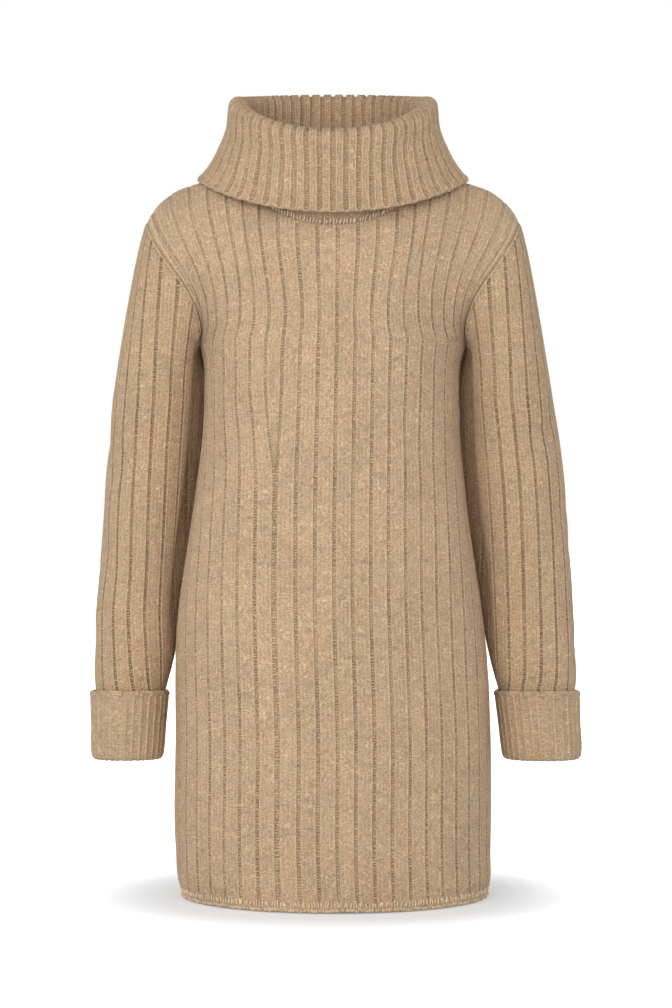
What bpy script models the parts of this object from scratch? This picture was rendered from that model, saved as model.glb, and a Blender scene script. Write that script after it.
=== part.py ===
"""Cowl neck sweater: a hip-length tunic in chunky rib, filled out as if worn, with nobody inside.

Seven pieces of cloth, each a closed wall of even thickness: front and back panel, two set-in
sleeves, two turned-back cuffs and a folded cowl collar. Metres, +Z up. The origin is in the middle
of the neck, level with the points where the shoulder seams meet the collar. The front faces -Y.
Left and right are the wearer's, so the left sleeve is at +X.
"""

from collections import namedtuple
import math

import bmesh
import bpy
import numpy as np

GAP = 0.0003            # left open between neighbouring pieces at every seam
WALL = 0.0035           # thickness of the ribbed cloth

HEM_HEIGHT = -0.806
UNDERARM_HEIGHT = -0.197
SHOULDER_POINT = -0.060  # height at which the sleeve leaves the shoulder
NECK_HALF_WIDTH = 0.100

ARMHOLE_ROWS = 9        # steps from underarm to shoulder, half the steps round a sleeve
NECK_COLUMNS = 7        # steps from centre front to the shoulder seam, a quarter of the collar
SHOULDER_COLUMNS = 6    # steps along one shoulder seam
CAP_RINGS = 6           # steps from the armhole down to the first level ring of the sleeve
FOLD_STEPS = 4          # steps round a turned edge
CAP_DROOP = 1.2         # how steeply the sleeve leaves the armhole, three times this underneath
NECK_CORNER_TILT = 1.7  # outward lean of the wall where the shoulder seams meet the neck

WOOL_COLOUR = (0.522, 0.376, 0.242, 1.0)
WOOL_ROUGHNESS = 0.9

# Level sections of the body, hem first. Depths are measured from the side seams.
Section = namedtuple("Section", "height half_width lean front back")
BODY = (
    Section(HEM_HEIGHT, 0.1700, 0.0010, 0.1180, 0.1120),
    Section(-0.790, 0.1735, 0.0005, 0.1205, 0.1145),
    Section(-0.756, 0.1743, 0.0000, 0.1220, 0.1160),
    Section(-0.617, 0.1743, 0.0000, 0.1220, 0.1160),
    Section(-0.535, 0.1720, -0.0022, 0.1200, 0.1150),
    Section(-0.480, 0.1667, -0.0035, 0.1170, 0.1100),
    Section(-0.424, 0.1582, -0.0035, 0.1145, 0.1030),
    Section(-0.385, 0.1523, -0.0033, 0.1135, 0.0985),
    Section(-0.346, 0.1475, -0.0028, 0.1145, 0.0965),
    Section(-0.300, 0.1427, -0.0022, 0.1175, 0.0980),
    Section(-0.250, 0.1407, -0.0014, 0.1200, 0.1015),
    Section(-0.215, 0.1425, -0.0008, 0.1195, 0.1040),
    Section(UNDERARM_HEIGHT, 0.1470, 0.0000, 0.1190, 0.1050),
    Section(0.018, 0.1470, 0.0000, 0.1160, 0.1030),
)

# Where the armhole seam stands away from the middle of the body.
Armhole = namedtuple("Armhole", "height half_width")
ARMHOLE = (
    Armhole(UNDERARM_HEIGHT, 0.1470),
    Armhole(-0.185, 0.1438),
    Armhole(-0.165, 0.1466),
    Armhole(-0.137, 0.1602),
    Armhole(-0.113, 0.1772),
    Armhole(-0.085, 0.1955),
    Armhole(SHOULDER_POINT, 0.2060),
)

# The ridge of the shoulder, from the middle of the neck outwards.
Ridge = namedtuple("Ridge", "out height")
RIDGE = (
    Ridge(0.000, 0.0180),
    Ridge(0.050, 0.0120),
    Ridge(NECK_HALF_WIDTH, 0.0000),
    Ridge(0.150, -0.0155),
    Ridge(0.178, -0.0266),
    Ridge(0.198, -0.0442),
    Ridge(0.206, SHOULDER_POINT),
)

# What differs between the two panels: which way they face, how deep the neck is scooped, how far
# the armhole reaches round from the side, and the height over which the cloth rolls to the ridge.
Panel = namedtuple("Panel", "way neck_drop armhole_reach roll")
FRONT = Panel(-1.0, 0.0725, 0.055, 0.27)
BACK = Panel(1.0, 0.0120, 0.050, 0.15)

# Level sections of each sleeve, below the cap; centre is measured from the middle of the body.
Ring = namedtuple("Ring", "height centre half_width forward half_depth")
LEFT_SLEEVE = (
    Ring(-0.2575, 0.1930, 0.0525, -0.016, 0.0620),
    Ring(-0.311, 0.1970, 0.0549, -0.024, 0.0600),
    Ring(-0.364, 0.2023, 0.0559, -0.028, 0.0580),
    Ring(-0.444, 0.2112, 0.0528, -0.027, 0.0540),
    Ring(-0.497, 0.2172, 0.0505, -0.023, 0.0515),
    Ring(-0.532, 0.2215, 0.0491, -0.018, 0.0490),
    Ring(-0.577, 0.2268, 0.0430, -0.011, 0.0440),
    Ring(-0.588, 0.2274, 0.0402, -0.009, 0.0415),
    Ring(-0.600, 0.2282, 0.0385, -0.008, 0.0400),
)
RIGHT_SLEEVE = (
    Ring(-0.2575, 0.1940, 0.0515, -0.016, 0.0620),
    Ring(-0.311, 0.1990, 0.0526, -0.024, 0.0600),
    Ring(-0.364, 0.2044, 0.0516, -0.028, 0.0575),
    Ring(-0.444, 0.2133, 0.0479, -0.027, 0.0530),
    Ring(-0.497, 0.2190, 0.0463, -0.023, 0.0500),
    Ring(-0.532, 0.2206, 0.0450, -0.018, 0.0470),
    Ring(-0.577, 0.2252, 0.0392, -0.011, 0.0410),
    Ring(-0.588, 0.2258, 0.0368, -0.009, 0.0390),
    Ring(-0.600, 0.2262, 0.0350, -0.008, 0.0375),
)

# A turned-back cuff, by the outside of its top edge and of its fold.
Cuff = namedtuple("Cuff", "top_centre top_half bottom_centre bottom_half")
LEFT_CUFF = Cuff(0.2270, 0.0472, 0.2322, 0.0433)
RIGHT_CUFF = Cuff(0.2264, 0.0436, 0.2288, 0.0393)
CUFF_TOP = -0.5805
CUFF_BOTTOM = -0.6577
CUFF_FORWARD = -0.009
CUFF_FOLD_RADIUS = 0.0040   # of the middle of the cloth, where it turns back
CUFF_EXTRA_DEPTH = 0.0030   # a cuff is this much deeper than wide, each way

# The middle of the collar's cloth, from the stand over the fold to the free edge of the fall.
Level = namedtuple("Level", "side front back front_height side_height back_height")
STAND = (
    Level(0.0975, 0.0890, 0.0640, -0.043, 0.022, 0.020),
    Level(0.0972, 0.0895, 0.0700, -0.005, 0.046, 0.056),
)
FOLD = Level(0.1064, 0.0985, 0.0815, 0.0180, 0.0665, 0.0855)
FALL = (
    Level(0.1170, 0.1080, 0.0915, -0.0055, 0.043, 0.061),
    Level(0.1252, 0.1095, 0.0940, -0.0272, 0.022, 0.040),
    Level(0.1378, 0.1094, 0.0975, -0.0468, 0.003, 0.018),
    Level(0.1496, 0.1072, 0.1010, -0.0638, -0.0104, -0.0010),
)
COLLAR_FOLD_RADIUS = 0.0074
COLLAR_DIP = 1.2        # how quickly the collar's levels drop from the sides to the front


def lookup(table, column, place):
    """Read a column of a table at any place, on a cubic through its rows."""
    rows = np.array([row[0] for row in table])
    values = np.array([getattr(row, column) for row in table])
    slopes = np.gradient(values, rows)
    spot = np.clip(place, rows[0], rows[-1])
    low = np.clip(np.searchsorted(rows, spot) - 1, 0, len(rows) - 2)
    span = rows[low + 1] - rows[low]
    part = (spot - rows[low]) / span
    rise = part * part * (3 - 2 * part)
    leave = part * (1 - part) ** 2 * span * slopes[low]
    arrive = part * part * (part - 1) * span * slopes[low + 1]
    return values[low] * (1 - rise) + values[low + 1] * rise + leave + arrive


def unit(vectors):
    """Scale vectors to length one."""
    return vectors / np.linalg.norm(vectors, axis=-1, keepdims=True)


def shoulder_roll(panel, out, height):
    """Share of its full depth that a panel has reached below the ridge, a quarter ellipse."""
    below = (lookup(RIDGE, "height", np.abs(out)) - height) / panel.roll
    return np.sqrt(1 - (1 - np.clip(below, 0, 1)) ** 2)


def full_depth(panel, height):
    """Depth of a panel at its middle, before it rolls over the shoulder."""
    return lookup(BODY, "front" if panel is FRONT else "back", height)


def section_half_width(panel, height):
    """Half-width of the ellipse that a section lies on; above the underarm it passes the armhole."""
    middle = (UNDERARM_HEIGHT + SHOULDER_POINT) / 2
    tall = (SHOULDER_POINT - UNDERARM_HEIGHT) / 2
    level = np.clip(height, UNDERARM_HEIGHT, SHOULDER_POINT - 0.02 * tall)
    edge = lookup(ARMHOLE, "half_width", level)
    reach = panel.armhole_reach * np.sqrt(np.clip(1 - ((level - middle) / tall) ** 2, 0, 1))
    share = reach / (full_depth(panel, level) * shoulder_roll(panel, edge, level))
    above = edge / np.sqrt(1 - share ** 2)
    return np.where(height < UNDERARM_HEIGHT, lookup(BODY, "half_width", height), above)


def panel_depth(panel, out, height):
    """Distance of a panel from the plane of the side seams."""
    across = np.clip(out / section_half_width(panel, height), -1, 1)
    depth = full_depth(panel, height) * shoulder_roll(panel, out, height)
    return depth * np.sqrt(1 - across ** 2)


def top_edge(panel):
    """Out and height of each column's top: round the neckline, then along the shoulder seam."""
    turn = np.linspace(0, math.pi / 2, NECK_COLUMNS + 1)
    neck_out = NECK_HALF_WIDTH * np.sin(turn)
    neck_height = -panel.neck_drop * np.cos(turn)
    fine = np.linspace(NECK_HALF_WIDTH, RIDGE[-1].out, 200)
    ridge = lookup(RIDGE, "height", fine)
    run = np.concatenate([[0], np.cumsum(np.hypot(np.diff(fine), np.diff(ridge)))])
    even = np.linspace(0, run[-1], SHOULDER_COLUMNS + 1)[1:]
    shoulder_out = np.interp(even, run, fine)
    out = np.concatenate([neck_out, shoulder_out])
    height = np.concatenate([neck_height, lookup(RIDGE, "height", shoulder_out)])
    return out, height


def even_columns(count):
    """Places across half a section, as shares of its half-width, at even steps round it."""
    turn = np.linspace(0, math.pi / 2, 400)
    step = np.hypot(np.diff(np.sin(turn)), 0.72 * np.diff(np.cos(turn)))
    run = np.concatenate([[0], np.cumsum(step)])
    return np.sin(np.interp(np.linspace(0, run[-1], count + 1), run, turn))


def panel_grid(panel):
    """Outside of a panel: rows from the hem up, columns from right to left."""
    count = NECK_COLUMNS + SHOULDER_COLUMNS
    low_share = even_columns(count)
    top_out, top_height = top_edge(panel)
    top_share = top_out / top_out[-1]
    rows = []
    for section in BODY[:-2]:
        out, height = low_share * section.half_width, np.full(count + 1, section.height)
        rows.append((out, height, section.lean))
    for turn in np.linspace(0, math.pi, ARMHOLE_ROWS + 1):
        climb = (1 - math.cos(turn)) / 2
        level = UNDERARM_HEIGHT + climb * (SHOULDER_POINT - UNDERARM_HEIGHT)
        edge = lookup(ARMHOLE, "half_width", level)
        share = low_share + (top_share - low_share) * climb
        height = UNDERARM_HEIGHT + (top_height - UNDERARM_HEIGHT) * climb
        rows.append((share * edge, height, 0.0))
    half = np.array([np.stack([out, height], -1) for out, height, _ in rows])
    lean = np.array([lean for _, _, lean in rows])[:, None]
    depth = np.maximum(panel_depth(panel, half[..., 0], half[..., 1]), GAP / 2)
    left = np.stack([half[..., 0] + lean, panel.way * depth, half[..., 1]], -1)
    right = left.copy()
    right[..., 0] = lean - half[..., 0]
    return np.concatenate([right[:, :0:-1], left], axis=1)


def grid_normals(grid, wrap):
    """Directions square to a grid of points, by the steps along its rows and columns."""
    up = np.gradient(grid, axis=0)
    if wrap:
        across = np.roll(grid, -1, axis=1) - np.roll(grid, 1, axis=1)
    else:
        across = np.gradient(grid, axis=1)
    return unit(np.cross(across, up))


def panel_facing(panel, grid):
    """Way that a panel's wall faces; along a seam both neighbours share one direction."""
    facing = grid_normals(grid, wrap=False)
    facing *= np.sign(panel.way * facing[..., 1:2] + 1e-9)
    first = len(BODY) - 2
    on_seam_plane = np.abs(grid[..., 1]) <= GAP
    facing[on_seam_plane, 1] = 0.0
    neck = slice(SHOULDER_COLUMNS, SHOULDER_COLUMNS + 2 * NECK_COLUMNS + 1)
    away = grid[-1, neck] * (1, 1, 0)
    facing[-1, neck] = unit(facing[-1, neck]) + unit(away)
    facing[-1, neck.start] = (-NECK_CORNER_TILT, 0, 1)
    facing[-1, neck.stop - 1] = (NECK_CORNER_TILT, 0, 1)
    facing[:first, 0] = (-1, 0, 0)
    facing[:first, -1] = (1, 0, 0)
    middle = (UNDERARM_HEIGHT + SHOULDER_POINT) / 2
    for column, side in ((0, -1), (-1, 1)):
        centre = (side * ARMHOLE[0].half_width, 0, middle)
        facing[first:, column] = grid[first:, column] - centre
        facing[first, column] = (0, 0, -1)
        facing[-1, column, 1] = 0.0
    return unit(facing)


def closed_wall(name, face, back, wrap):
    """Make one closed solid between two grids of points; wrap joins the last column to the first."""
    rows, columns = face.shape[:2]
    points = np.concatenate([face.reshape(-1, 3), back.reshape(-1, 3)])
    index = np.arange(len(points)).reshape(2, rows, columns)
    steps = columns if wrap else columns - 1
    faces = []
    for row in range(rows - 1):
        for column in range(steps):
            beside = (column + 1) % columns
            ring = ((row, column), (row, beside), (row + 1, beside), (row + 1, column))
            faces.append([index[0][spot] for spot in ring])
            faces.append([index[1][spot] for spot in reversed(ring)])
    for row in (0, rows - 1):
        for column in range(steps):
            beside = (column + 1) % columns
            faces.append([index[0, row, column], index[0, row, beside],
                          index[1, row, beside], index[1, row, column]])
    if not wrap:
        for column in (0, columns - 1):
            for row in range(rows - 1):
                faces.append([index[0, row, column], index[0, row + 1, column],
                              index[1, row + 1, column], index[1, row, column]])
    mesh = bpy.data.meshes.new(name)
    mesh.from_pydata([tuple(point) for point in points.tolist()], [],
                     [[int(corner) for corner in corners] for corners in faces])
    shell = bmesh.new()
    shell.from_mesh(mesh)
    bmesh.ops.recalc_face_normals(shell, faces=shell.faces)
    shell.to_mesh(mesh)
    shell.free()
    mesh.shade_smooth()
    mesh.set_sharp_from_angle(angle=math.radians(50))
    mesh.materials.append(wool(name))
    piece = bpy.data.objects.new(name, mesh)
    bpy.context.collection.objects.link(piece)
    return piece


def wool(name):
    """Plain camel wool for one piece."""
    material = bpy.data.materials.new(name + "_wool")
    material.use_nodes = True
    shader = material.node_tree.nodes["Principled BSDF"]
    shader.inputs["Base Color"].default_value = WOOL_COLOUR
    shader.inputs["Roughness"].default_value = WOOL_ROUGHNESS
    shader.inputs["Metallic"].default_value = 0.0
    return material


def seam_loop(front, back, column):
    """Closed loop of an armhole: up the front panel's edge and down the back panel's."""
    first = len(BODY) - 2
    up, down = front[first:, column], back[first:, column][::-1]
    loop = np.concatenate([up, down[1:-1]])
    loop[[0, ARMHOLE_ROWS], 1] = 0.0
    return loop


def neck_loop(front, back):
    """Closed loop of the neckline, from centre front by the left side round to centre front."""
    middle = SHOULDER_COLUMNS + NECK_COLUMNS
    neck = slice(middle, middle + NECK_COLUMNS + 1)
    left = np.concatenate([front[-1, neck], back[-1, neck][::-1][1:]])
    left[NECK_COLUMNS, 1] = 0.0
    right = left[-2:0:-1] * (-1, 1, 1)
    return np.concatenate([left, right])


def across_seam(loop, inner_loop, way):
    """Direction from one piece to the next over a seam, square to the seam and to its wall."""
    along = np.roll(loop, -1, axis=0) - np.roll(loop, 1, axis=0)
    step = unit(np.cross(along, loop - inner_loop))
    return step * np.sign((step * way).sum(-1, keepdims=True))


def sleeve_rings(sections, side):
    """Level rings of a sleeve, turning from the inside by the front, as the armhole loop does."""
    turn = np.linspace(0, 2 * math.pi, 2 * ARMHOLE_ROWS, endpoint=False)
    rings = []
    for ring in sections:
        out = side * (ring.centre - ring.half_width * np.cos(turn))
        deep = -ring.forward - ring.half_depth * np.sin(turn)
        rings.append(np.stack([out, deep, np.full_like(turn, ring.height)], -1))
    return np.array(rings)


def build_sleeve(name, sections, side, seam, seam_inside):
    """Sleeve from its armhole seam to the wrist: a curved cap, then level rings."""
    step = across_seam(seam, seam_inside, (side, 0, 0))
    start = seam + step * GAP
    rings = sleeve_rings(sections, side)
    low = (SHOULDER_POINT - seam[:, 2:]) / (SHOULDER_POINT - UNDERARM_HEIGHT)
    leave = unit(step - np.array((0, 0, CAP_DROOP)) * (1 + 2 * low ** 3))
    arrive = unit(unit(rings[1] - rings[0]) + unit(rings[0] - start))
    length = np.linalg.norm(rings[0] - start, axis=-1, keepdims=True)
    controls = (start, start + 0.15 * length * leave, rings[0] - 0.4 * length * arrive, rings[0])
    cap = []
    for part in np.linspace(0, 1, CAP_RINGS + 1)[:-1]:
        weights = ((1 - part) ** 3, 3 * part * (1 - part) ** 2, 3 * part ** 2 * (1 - part), part ** 3)
        cap.append(sum(weight * control for weight, control in zip(weights, controls)))
    outside = np.concatenate([cap, rings])
    middle = outside.mean(axis=1, keepdims=True)
    facing = grid_normals(outside, wrap=True)
    facing *= np.sign((facing * (outside - middle)).sum(-1, keepdims=True))
    inside = outside - facing * WALL
    inside[0] = seam_inside + step * GAP
    inside[-1, :, 2] = outside[-1, :, 2]
    closed_wall(name, outside, inside, wrap=True)
    return (outside[-1] + inside[-1]) / 2


def fold_turns():
    """Angles of the steps round a turned edge, from the inner layer to the outer."""
    return np.linspace(0, math.pi, FOLD_STEPS + 1)


def build_cuff(name, cuff, side, sleeve_end):
    """Turned-back cuff: down inside from the sleeve's end, round the fold and up outside."""
    turn = np.linspace(0, 2 * math.pi, 2 * ARMHOLE_ROWS, endpoint=False)

    def ring(centre, half_width, height):
        out = side * (centre - half_width * np.cos(turn))
        deep = -CUFF_FORWARD - (half_width + CUFF_EXTRA_DEPTH) * np.sin(turn)
        return np.stack([out, deep, np.full_like(turn, height)], -1)

    fold_height = CUFF_BOTTOM + WALL / 2 + CUFF_FOLD_RADIUS
    fold_half = cuff.bottom_half - WALL / 2 - CUFF_FOLD_RADIUS
    levels = [sleeve_end - (0, 0, GAP)]
    for angle in fold_turns():
        levels.append(ring(cuff.bottom_centre, fold_half - CUFF_FOLD_RADIUS * math.cos(angle),
                           fold_height - CUFF_FOLD_RADIUS * math.sin(angle)))
    top = ring(cuff.top_centre, cuff.top_half - WALL / 2, CUFF_TOP)
    levels.insert(1, (levels[0] + levels[1]) / 2)
    levels.append((levels[-1] + top) / 2)
    levels.append(top)
    middle = np.array(levels)
    build_folded(name, middle, level_ends=(True, True))


def build_folded(name, middle, level_ends, first_ring=None):
    """Close a wall round the middle of a folded tube of cloth."""
    facing = grid_normals(middle, wrap=True)
    shown, hidden = middle + facing * WALL / 2, middle - facing * WALL / 2
    for end, level in zip((0, -1), level_ends):
        if level:
            shown[end, :, 2] = hidden[end, :, 2] = middle[end, :, 2]
    if first_ring is not None:
        shown[0], hidden[0] = first_ring
    closed_wall(name, shown, hidden, wrap=True)


def collar_ring(level):
    """One level of the collar: an oval that drops towards the front."""
    turn = np.linspace(0, 2 * math.pi, 4 * NECK_COLUMNS, endpoint=False)
    ahead = np.cos(turn)
    reach = np.where(ahead > 0, level.front, level.back)
    end_height = np.where(ahead > 0, level.front_height, level.back_height)
    drop = (end_height - level.side_height) * np.abs(ahead) ** COLLAR_DIP
    return np.stack([level.side * np.sin(turn), -reach * ahead, level.side_height + drop], -1)


def build_collar(name, neck, neck_inside):
    """Cowl collar: a stand up from the neck seam, a fold, and a fall that rests on the shoulders."""
    step = across_seam(neck, neck_inside, (0, 0, 1))
    first_ring = (neck + step * GAP, neck_inside + step * GAP)
    levels = [(first_ring[0] + first_ring[1]) / 2]
    levels += [collar_ring(level) for level in STAND]
    for angle in fold_turns():
        out, up = -COLLAR_FOLD_RADIUS * math.cos(angle), COLLAR_FOLD_RADIUS * math.sin(angle)
        levels.append(collar_ring(Level(
            FOLD.side + out, FOLD.front + out, FOLD.back + out,
            FOLD.front_height + up, FOLD.side_height + up, FOLD.back_height + up)))
    levels += [collar_ring(level) for level in FALL]
    build_folded(name, np.array(levels), level_ends=(False, False), first_ring=first_ring)


def main():
    """Build the seven pieces of the sweater."""
    for leftover in list(bpy.data.objects):
        bpy.data.objects.remove(leftover)
    grids = {}
    for name, panel in (("front_panel", FRONT), ("back_panel", BACK)):
        outside = panel_grid(panel)
        inside = outside - panel_facing(panel, outside) * WALL
        seam_plane = np.abs(outside[..., 1]) <= GAP
        inside[seam_plane, 1] = outside[seam_plane, 1]
        closed_wall(name, outside, inside, wrap=False)
        grids[name] = (outside, inside)
    (front, front_inside), (back, back_inside) = grids["front_panel"], grids["back_panel"]
    for word, sections, cuff, side, column in (("left", LEFT_SLEEVE, LEFT_CUFF, 1, -1),
                                               ("right", RIGHT_SLEEVE, RIGHT_CUFF, -1, 0)):
        seam = seam_loop(front, back, column)
        seam_inside = seam_loop(front_inside, back_inside, column)
        sleeve_end = build_sleeve("sleeve_" + word, sections, side, seam, seam_inside)
        build_cuff("cuff_" + word, cuff, side, sleeve_end)
    build_collar("cowl_collar", neck_loop(front, back), neck_loop(front_inside, back_inside))


main()
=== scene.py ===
"""Looks of the cowl neck sweater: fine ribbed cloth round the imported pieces, its wool, and a studio.

Each cut piece of the sweater is a class that works out its surface from named sizes, lays ribs on
it and closes it into a thin wall of cloth. Metres, +Z up; the front faces -Y and the wearer's left
is at +X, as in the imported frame.
"""

from __future__ import annotations

import logging
import math
from dataclasses import dataclass, field
from enum import Enum
from math import pi
from typing import NamedTuple

import bpy
import numpy as np
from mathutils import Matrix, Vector

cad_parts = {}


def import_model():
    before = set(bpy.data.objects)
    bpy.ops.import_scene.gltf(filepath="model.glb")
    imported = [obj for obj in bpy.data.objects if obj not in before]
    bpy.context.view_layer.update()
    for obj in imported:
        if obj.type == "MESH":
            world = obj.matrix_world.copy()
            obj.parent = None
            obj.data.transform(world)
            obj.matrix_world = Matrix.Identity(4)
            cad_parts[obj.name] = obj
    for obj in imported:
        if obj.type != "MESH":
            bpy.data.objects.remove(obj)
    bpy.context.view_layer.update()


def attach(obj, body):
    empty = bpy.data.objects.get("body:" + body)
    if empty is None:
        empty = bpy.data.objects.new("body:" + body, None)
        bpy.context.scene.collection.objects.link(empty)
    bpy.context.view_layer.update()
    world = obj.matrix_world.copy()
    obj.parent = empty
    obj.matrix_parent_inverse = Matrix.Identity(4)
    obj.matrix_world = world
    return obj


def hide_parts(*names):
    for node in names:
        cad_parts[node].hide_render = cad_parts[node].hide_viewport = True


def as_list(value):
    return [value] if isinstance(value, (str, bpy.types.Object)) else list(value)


LOG = logging.getLogger("sweater")
Array = np.ndarray
Thing = bpy.types.Object
Span = tuple[float, float]  # places between which something rises, or a pair of sizes

WALL = 0.0035  # thickness of the ribbed cloth
SEAM_GAP = 0.0003  # left open at every seam
COURSE = 0.003  # height of one course of stitches
HEM = -0.806
UNDERARM = -0.197
SHOULDER_POINT = -0.06
ARMHOLE_MIDDLE = (UNDERARM + SHOULDER_POINT) / 2
ARMHOLE_RISE = SHOULDER_POINT - UNDERARM
SHOULDER_OUT = 0.206
NECK_HALF = 0.1
RIB_START = (0.001, 0.005)  # distances from a seam between which the ribs rise
INSIDE_START = (0.002, 0.01)  # the same on the inside of the cloth
CREASE_MARGIN = 0.03  # from a seam, over which creases die away
EDGE_TURN = 0.01  # from an edge, over which the cloth takes the edge's own facing
YARN_SIDES = 6  # corners of the yarn's section
KNIT_MAP = "knit"  # UV map: ribs across, courses up
RIBBING = "ribbing"  # attribute: 1 where the cloth is ribbed, 0 on its plain edges
CHAIN = "from_armhole"  # attribute: distance from the armhole, whose seam is chained
FAR_OFF = 0.1  # that distance, at least, where no chain is near


class Section(NamedTuple):
    """Level section of the body; depths are measured from the side seams."""

    height: float
    half_width: float
    lean: float
    front: float
    back: float


class Armhole(NamedTuple):
    """Where the armhole seam stands away from the middle of the body."""

    height: float
    half_width: float


class Ridge(NamedTuple):
    """Point on the ridge of the shoulder."""

    out: float
    height: float


class Ring(NamedTuple):
    """Level section of a sleeve; centre is measured from the middle of the body."""

    height: float
    centre: float
    half_width: float
    forward: float
    half_depth: float


class Level(NamedTuple):
    """Level of the collar: its reach and its height at the side, the front and the back."""

    place: float
    side: float
    front: float
    back: float
    front_height: float
    side_height: float
    back_height: float


def unit(vectors: Array) -> Array:
    """Scale vectors to length one."""
    return vectors / np.maximum(np.linalg.norm(vectors, axis=-1, keepdims=True), 1e-12)


def ramp(values: Array, low: float, high: float) -> Array:
    """Rise smoothly from 0 at low to 1 at high, as 3t^2 - 2t^3."""
    part = np.clip((values - low) / (high - low), 0, 1)
    return part * part * (3 - 2 * part)


def hump(values: Array, middle: float, width: float) -> Array:
    """Bell curve of height one."""
    return np.exp(-(((values - middle) / width) ** 2))


def run_along(points: Array) -> Array:
    """Distance travelled down the first axis of an array of points, starting at nought."""
    steps = np.linalg.norm(np.diff(points, axis=0), axis=-1)
    return np.concatenate([np.zeros_like(steps[:1]), np.cumsum(steps, axis=0)])


def read_rows(places: Array, known: Array, values: Array) -> Array:
    """Interpolate each row of places in the same row of two tables."""
    return np.array([np.interp(*row) for row in zip(places, known, values)])


def read_loop(turn: Array, known: Array, values: Array) -> Array:
    """Read points or directions of a closed loop at any turn, given all the way round it."""
    parts = [np.interp(turn, known, values[:, axis], period=2 * pi) for axis in range(3)]
    return np.stack(parts, -1)


def squeeze(ribs: Array, last: float, count: Array) -> Array:
    """Fit columns counted up to a last rib into fewer ribs, by drawing in those by the edge."""
    kept = count - 1
    return np.where(ribs < kept, ribs, kept + (ribs - kept) / (last - kept))


def cubic(places: Array, values: Array, spot: Array) -> Array:
    """Read values at any place on a Hermite cubic whose slopes are central differences.

    Args:
        places: Rising places at which the values are known.
        values: Values along their first axis; each may be a whole ring of points.
        spot: Places to read at.

    Returns:
        The values there, with the shape of spot before the shape of one value.
    """
    slopes = np.gradient(values, places, axis=0)
    spot = np.clip(spot, places[0], places[-1])
    low = np.clip(np.searchsorted(places, spot) - 1, 0, len(places) - 2)
    wide = spot.shape + (1,) * (values.ndim - 1)
    span = (places[low + 1] - places[low]).reshape(wide)
    part = (spot - places[low]).reshape(wide) / span
    rise = part * part * (3 - 2 * part)
    leave = part * (1 - part) ** 2 * span * slopes[low]
    arrive = part * part * (part - 1) * span * slopes[low + 1]
    return values[low] * (1 - rise) + values[low + 1] * rise + leave + arrive


class Table:
    """Rows of sizes with named columns, read at any place on a cubic through the rows."""

    def __init__(self, kind: type, *rows: tuple[float, ...]) -> None:
        """Make rows of one kind, in rising order of their first column."""
        self.rows = sorted(kind(*row) for row in rows)
        self.places = np.array([row[0] for row in self.rows])

    def read(self, column: str, place: Array | float) -> Array:
        """Read the column of that name where the first column has the value of place."""
        values = np.array([getattr(row, column) for row in self.rows])
        return cubic(self.places, values, np.asarray(place, dtype=float))


BODY = Table(
    Section,
    (HEM, 0.1678, 0.0021, 0.118, 0.112),
    (-0.79, 0.1723, 0.0014, 0.1205, 0.1145),
    (-0.756, 0.1743, 0.0002, 0.122, 0.116),
    (-0.617, 0.1743, 0.0, 0.122, 0.116),
    (-0.535, 0.172, -0.0022, 0.12, 0.115),
    (-0.48, 0.1667, -0.0035, 0.117, 0.11),
    (-0.424, 0.1582, -0.0035, 0.1145, 0.103),
    (-0.385, 0.1523, -0.0033, 0.1135, 0.0985),
    (-0.346, 0.1475, -0.0028, 0.1145, 0.0965),
    (-0.3, 0.1427, -0.0022, 0.1175, 0.098),
    (-0.25, 0.1407, -0.0014, 0.12, 0.1015),
    (-0.215, 0.1425, -0.0008, 0.1195, 0.104),
    (UNDERARM, 0.147, 0.0, 0.119, 0.105),
    (0.018, 0.147, 0.0, 0.116, 0.103),
)
ARMHOLE = Table(
    Armhole,
    (UNDERARM, 0.147),
    (-0.185, 0.1438),
    (-0.165, 0.1466),
    (-0.137, 0.1602),
    (-0.113, 0.1772),
    (-0.085, 0.1955),
    (SHOULDER_POINT, SHOULDER_OUT),
)
RIDGE = Table(
    Ridge,
    (0.0, 0.018),
    (0.05, 0.012),
    (NECK_HALF, 0.0),
    (0.15, -0.0178),
    (0.178, -0.0292),
    (0.198, -0.0474),
    (SHOULDER_OUT, SHOULDER_POINT),
)
LEFT_RINGS = Table(
    Ring,
    (-0.2575, 0.193, 0.0525, -0.016, 0.062),
    (-0.311, 0.1983, 0.0562, -0.024, 0.06),
    (-0.364, 0.2038, 0.0573, -0.028, 0.058),
    (-0.444, 0.2124, 0.0541, -0.027, 0.054),
    (-0.497, 0.2178, 0.0511, -0.023, 0.0515),
    (-0.532, 0.2215, 0.0491, -0.018, 0.049),
    (-0.577, 0.2268, 0.043, -0.011, 0.044),
    (-0.588, 0.2274, 0.0402, -0.009, 0.0415),
    (-0.6, 0.2282, 0.0385, -0.008, 0.04),
)
RIGHT_RINGS = Table(
    Ring,
    (-0.2575, 0.194, 0.0515, -0.016, 0.062),
    (-0.311, 0.199, 0.0526, -0.024, 0.06),
    (-0.364, 0.2044, 0.0516, -0.028, 0.0575),
    (-0.444, 0.2133, 0.0479, -0.027, 0.053),
    (-0.497, 0.219, 0.0463, -0.023, 0.05),
    (-0.532, 0.2206, 0.045, -0.018, 0.047),
    (-0.577, 0.2252, 0.0392, -0.011, 0.041),
    (-0.588, 0.2258, 0.0368, -0.009, 0.039),
    (-0.6, 0.2262, 0.035, -0.008, 0.0375),
)


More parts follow.
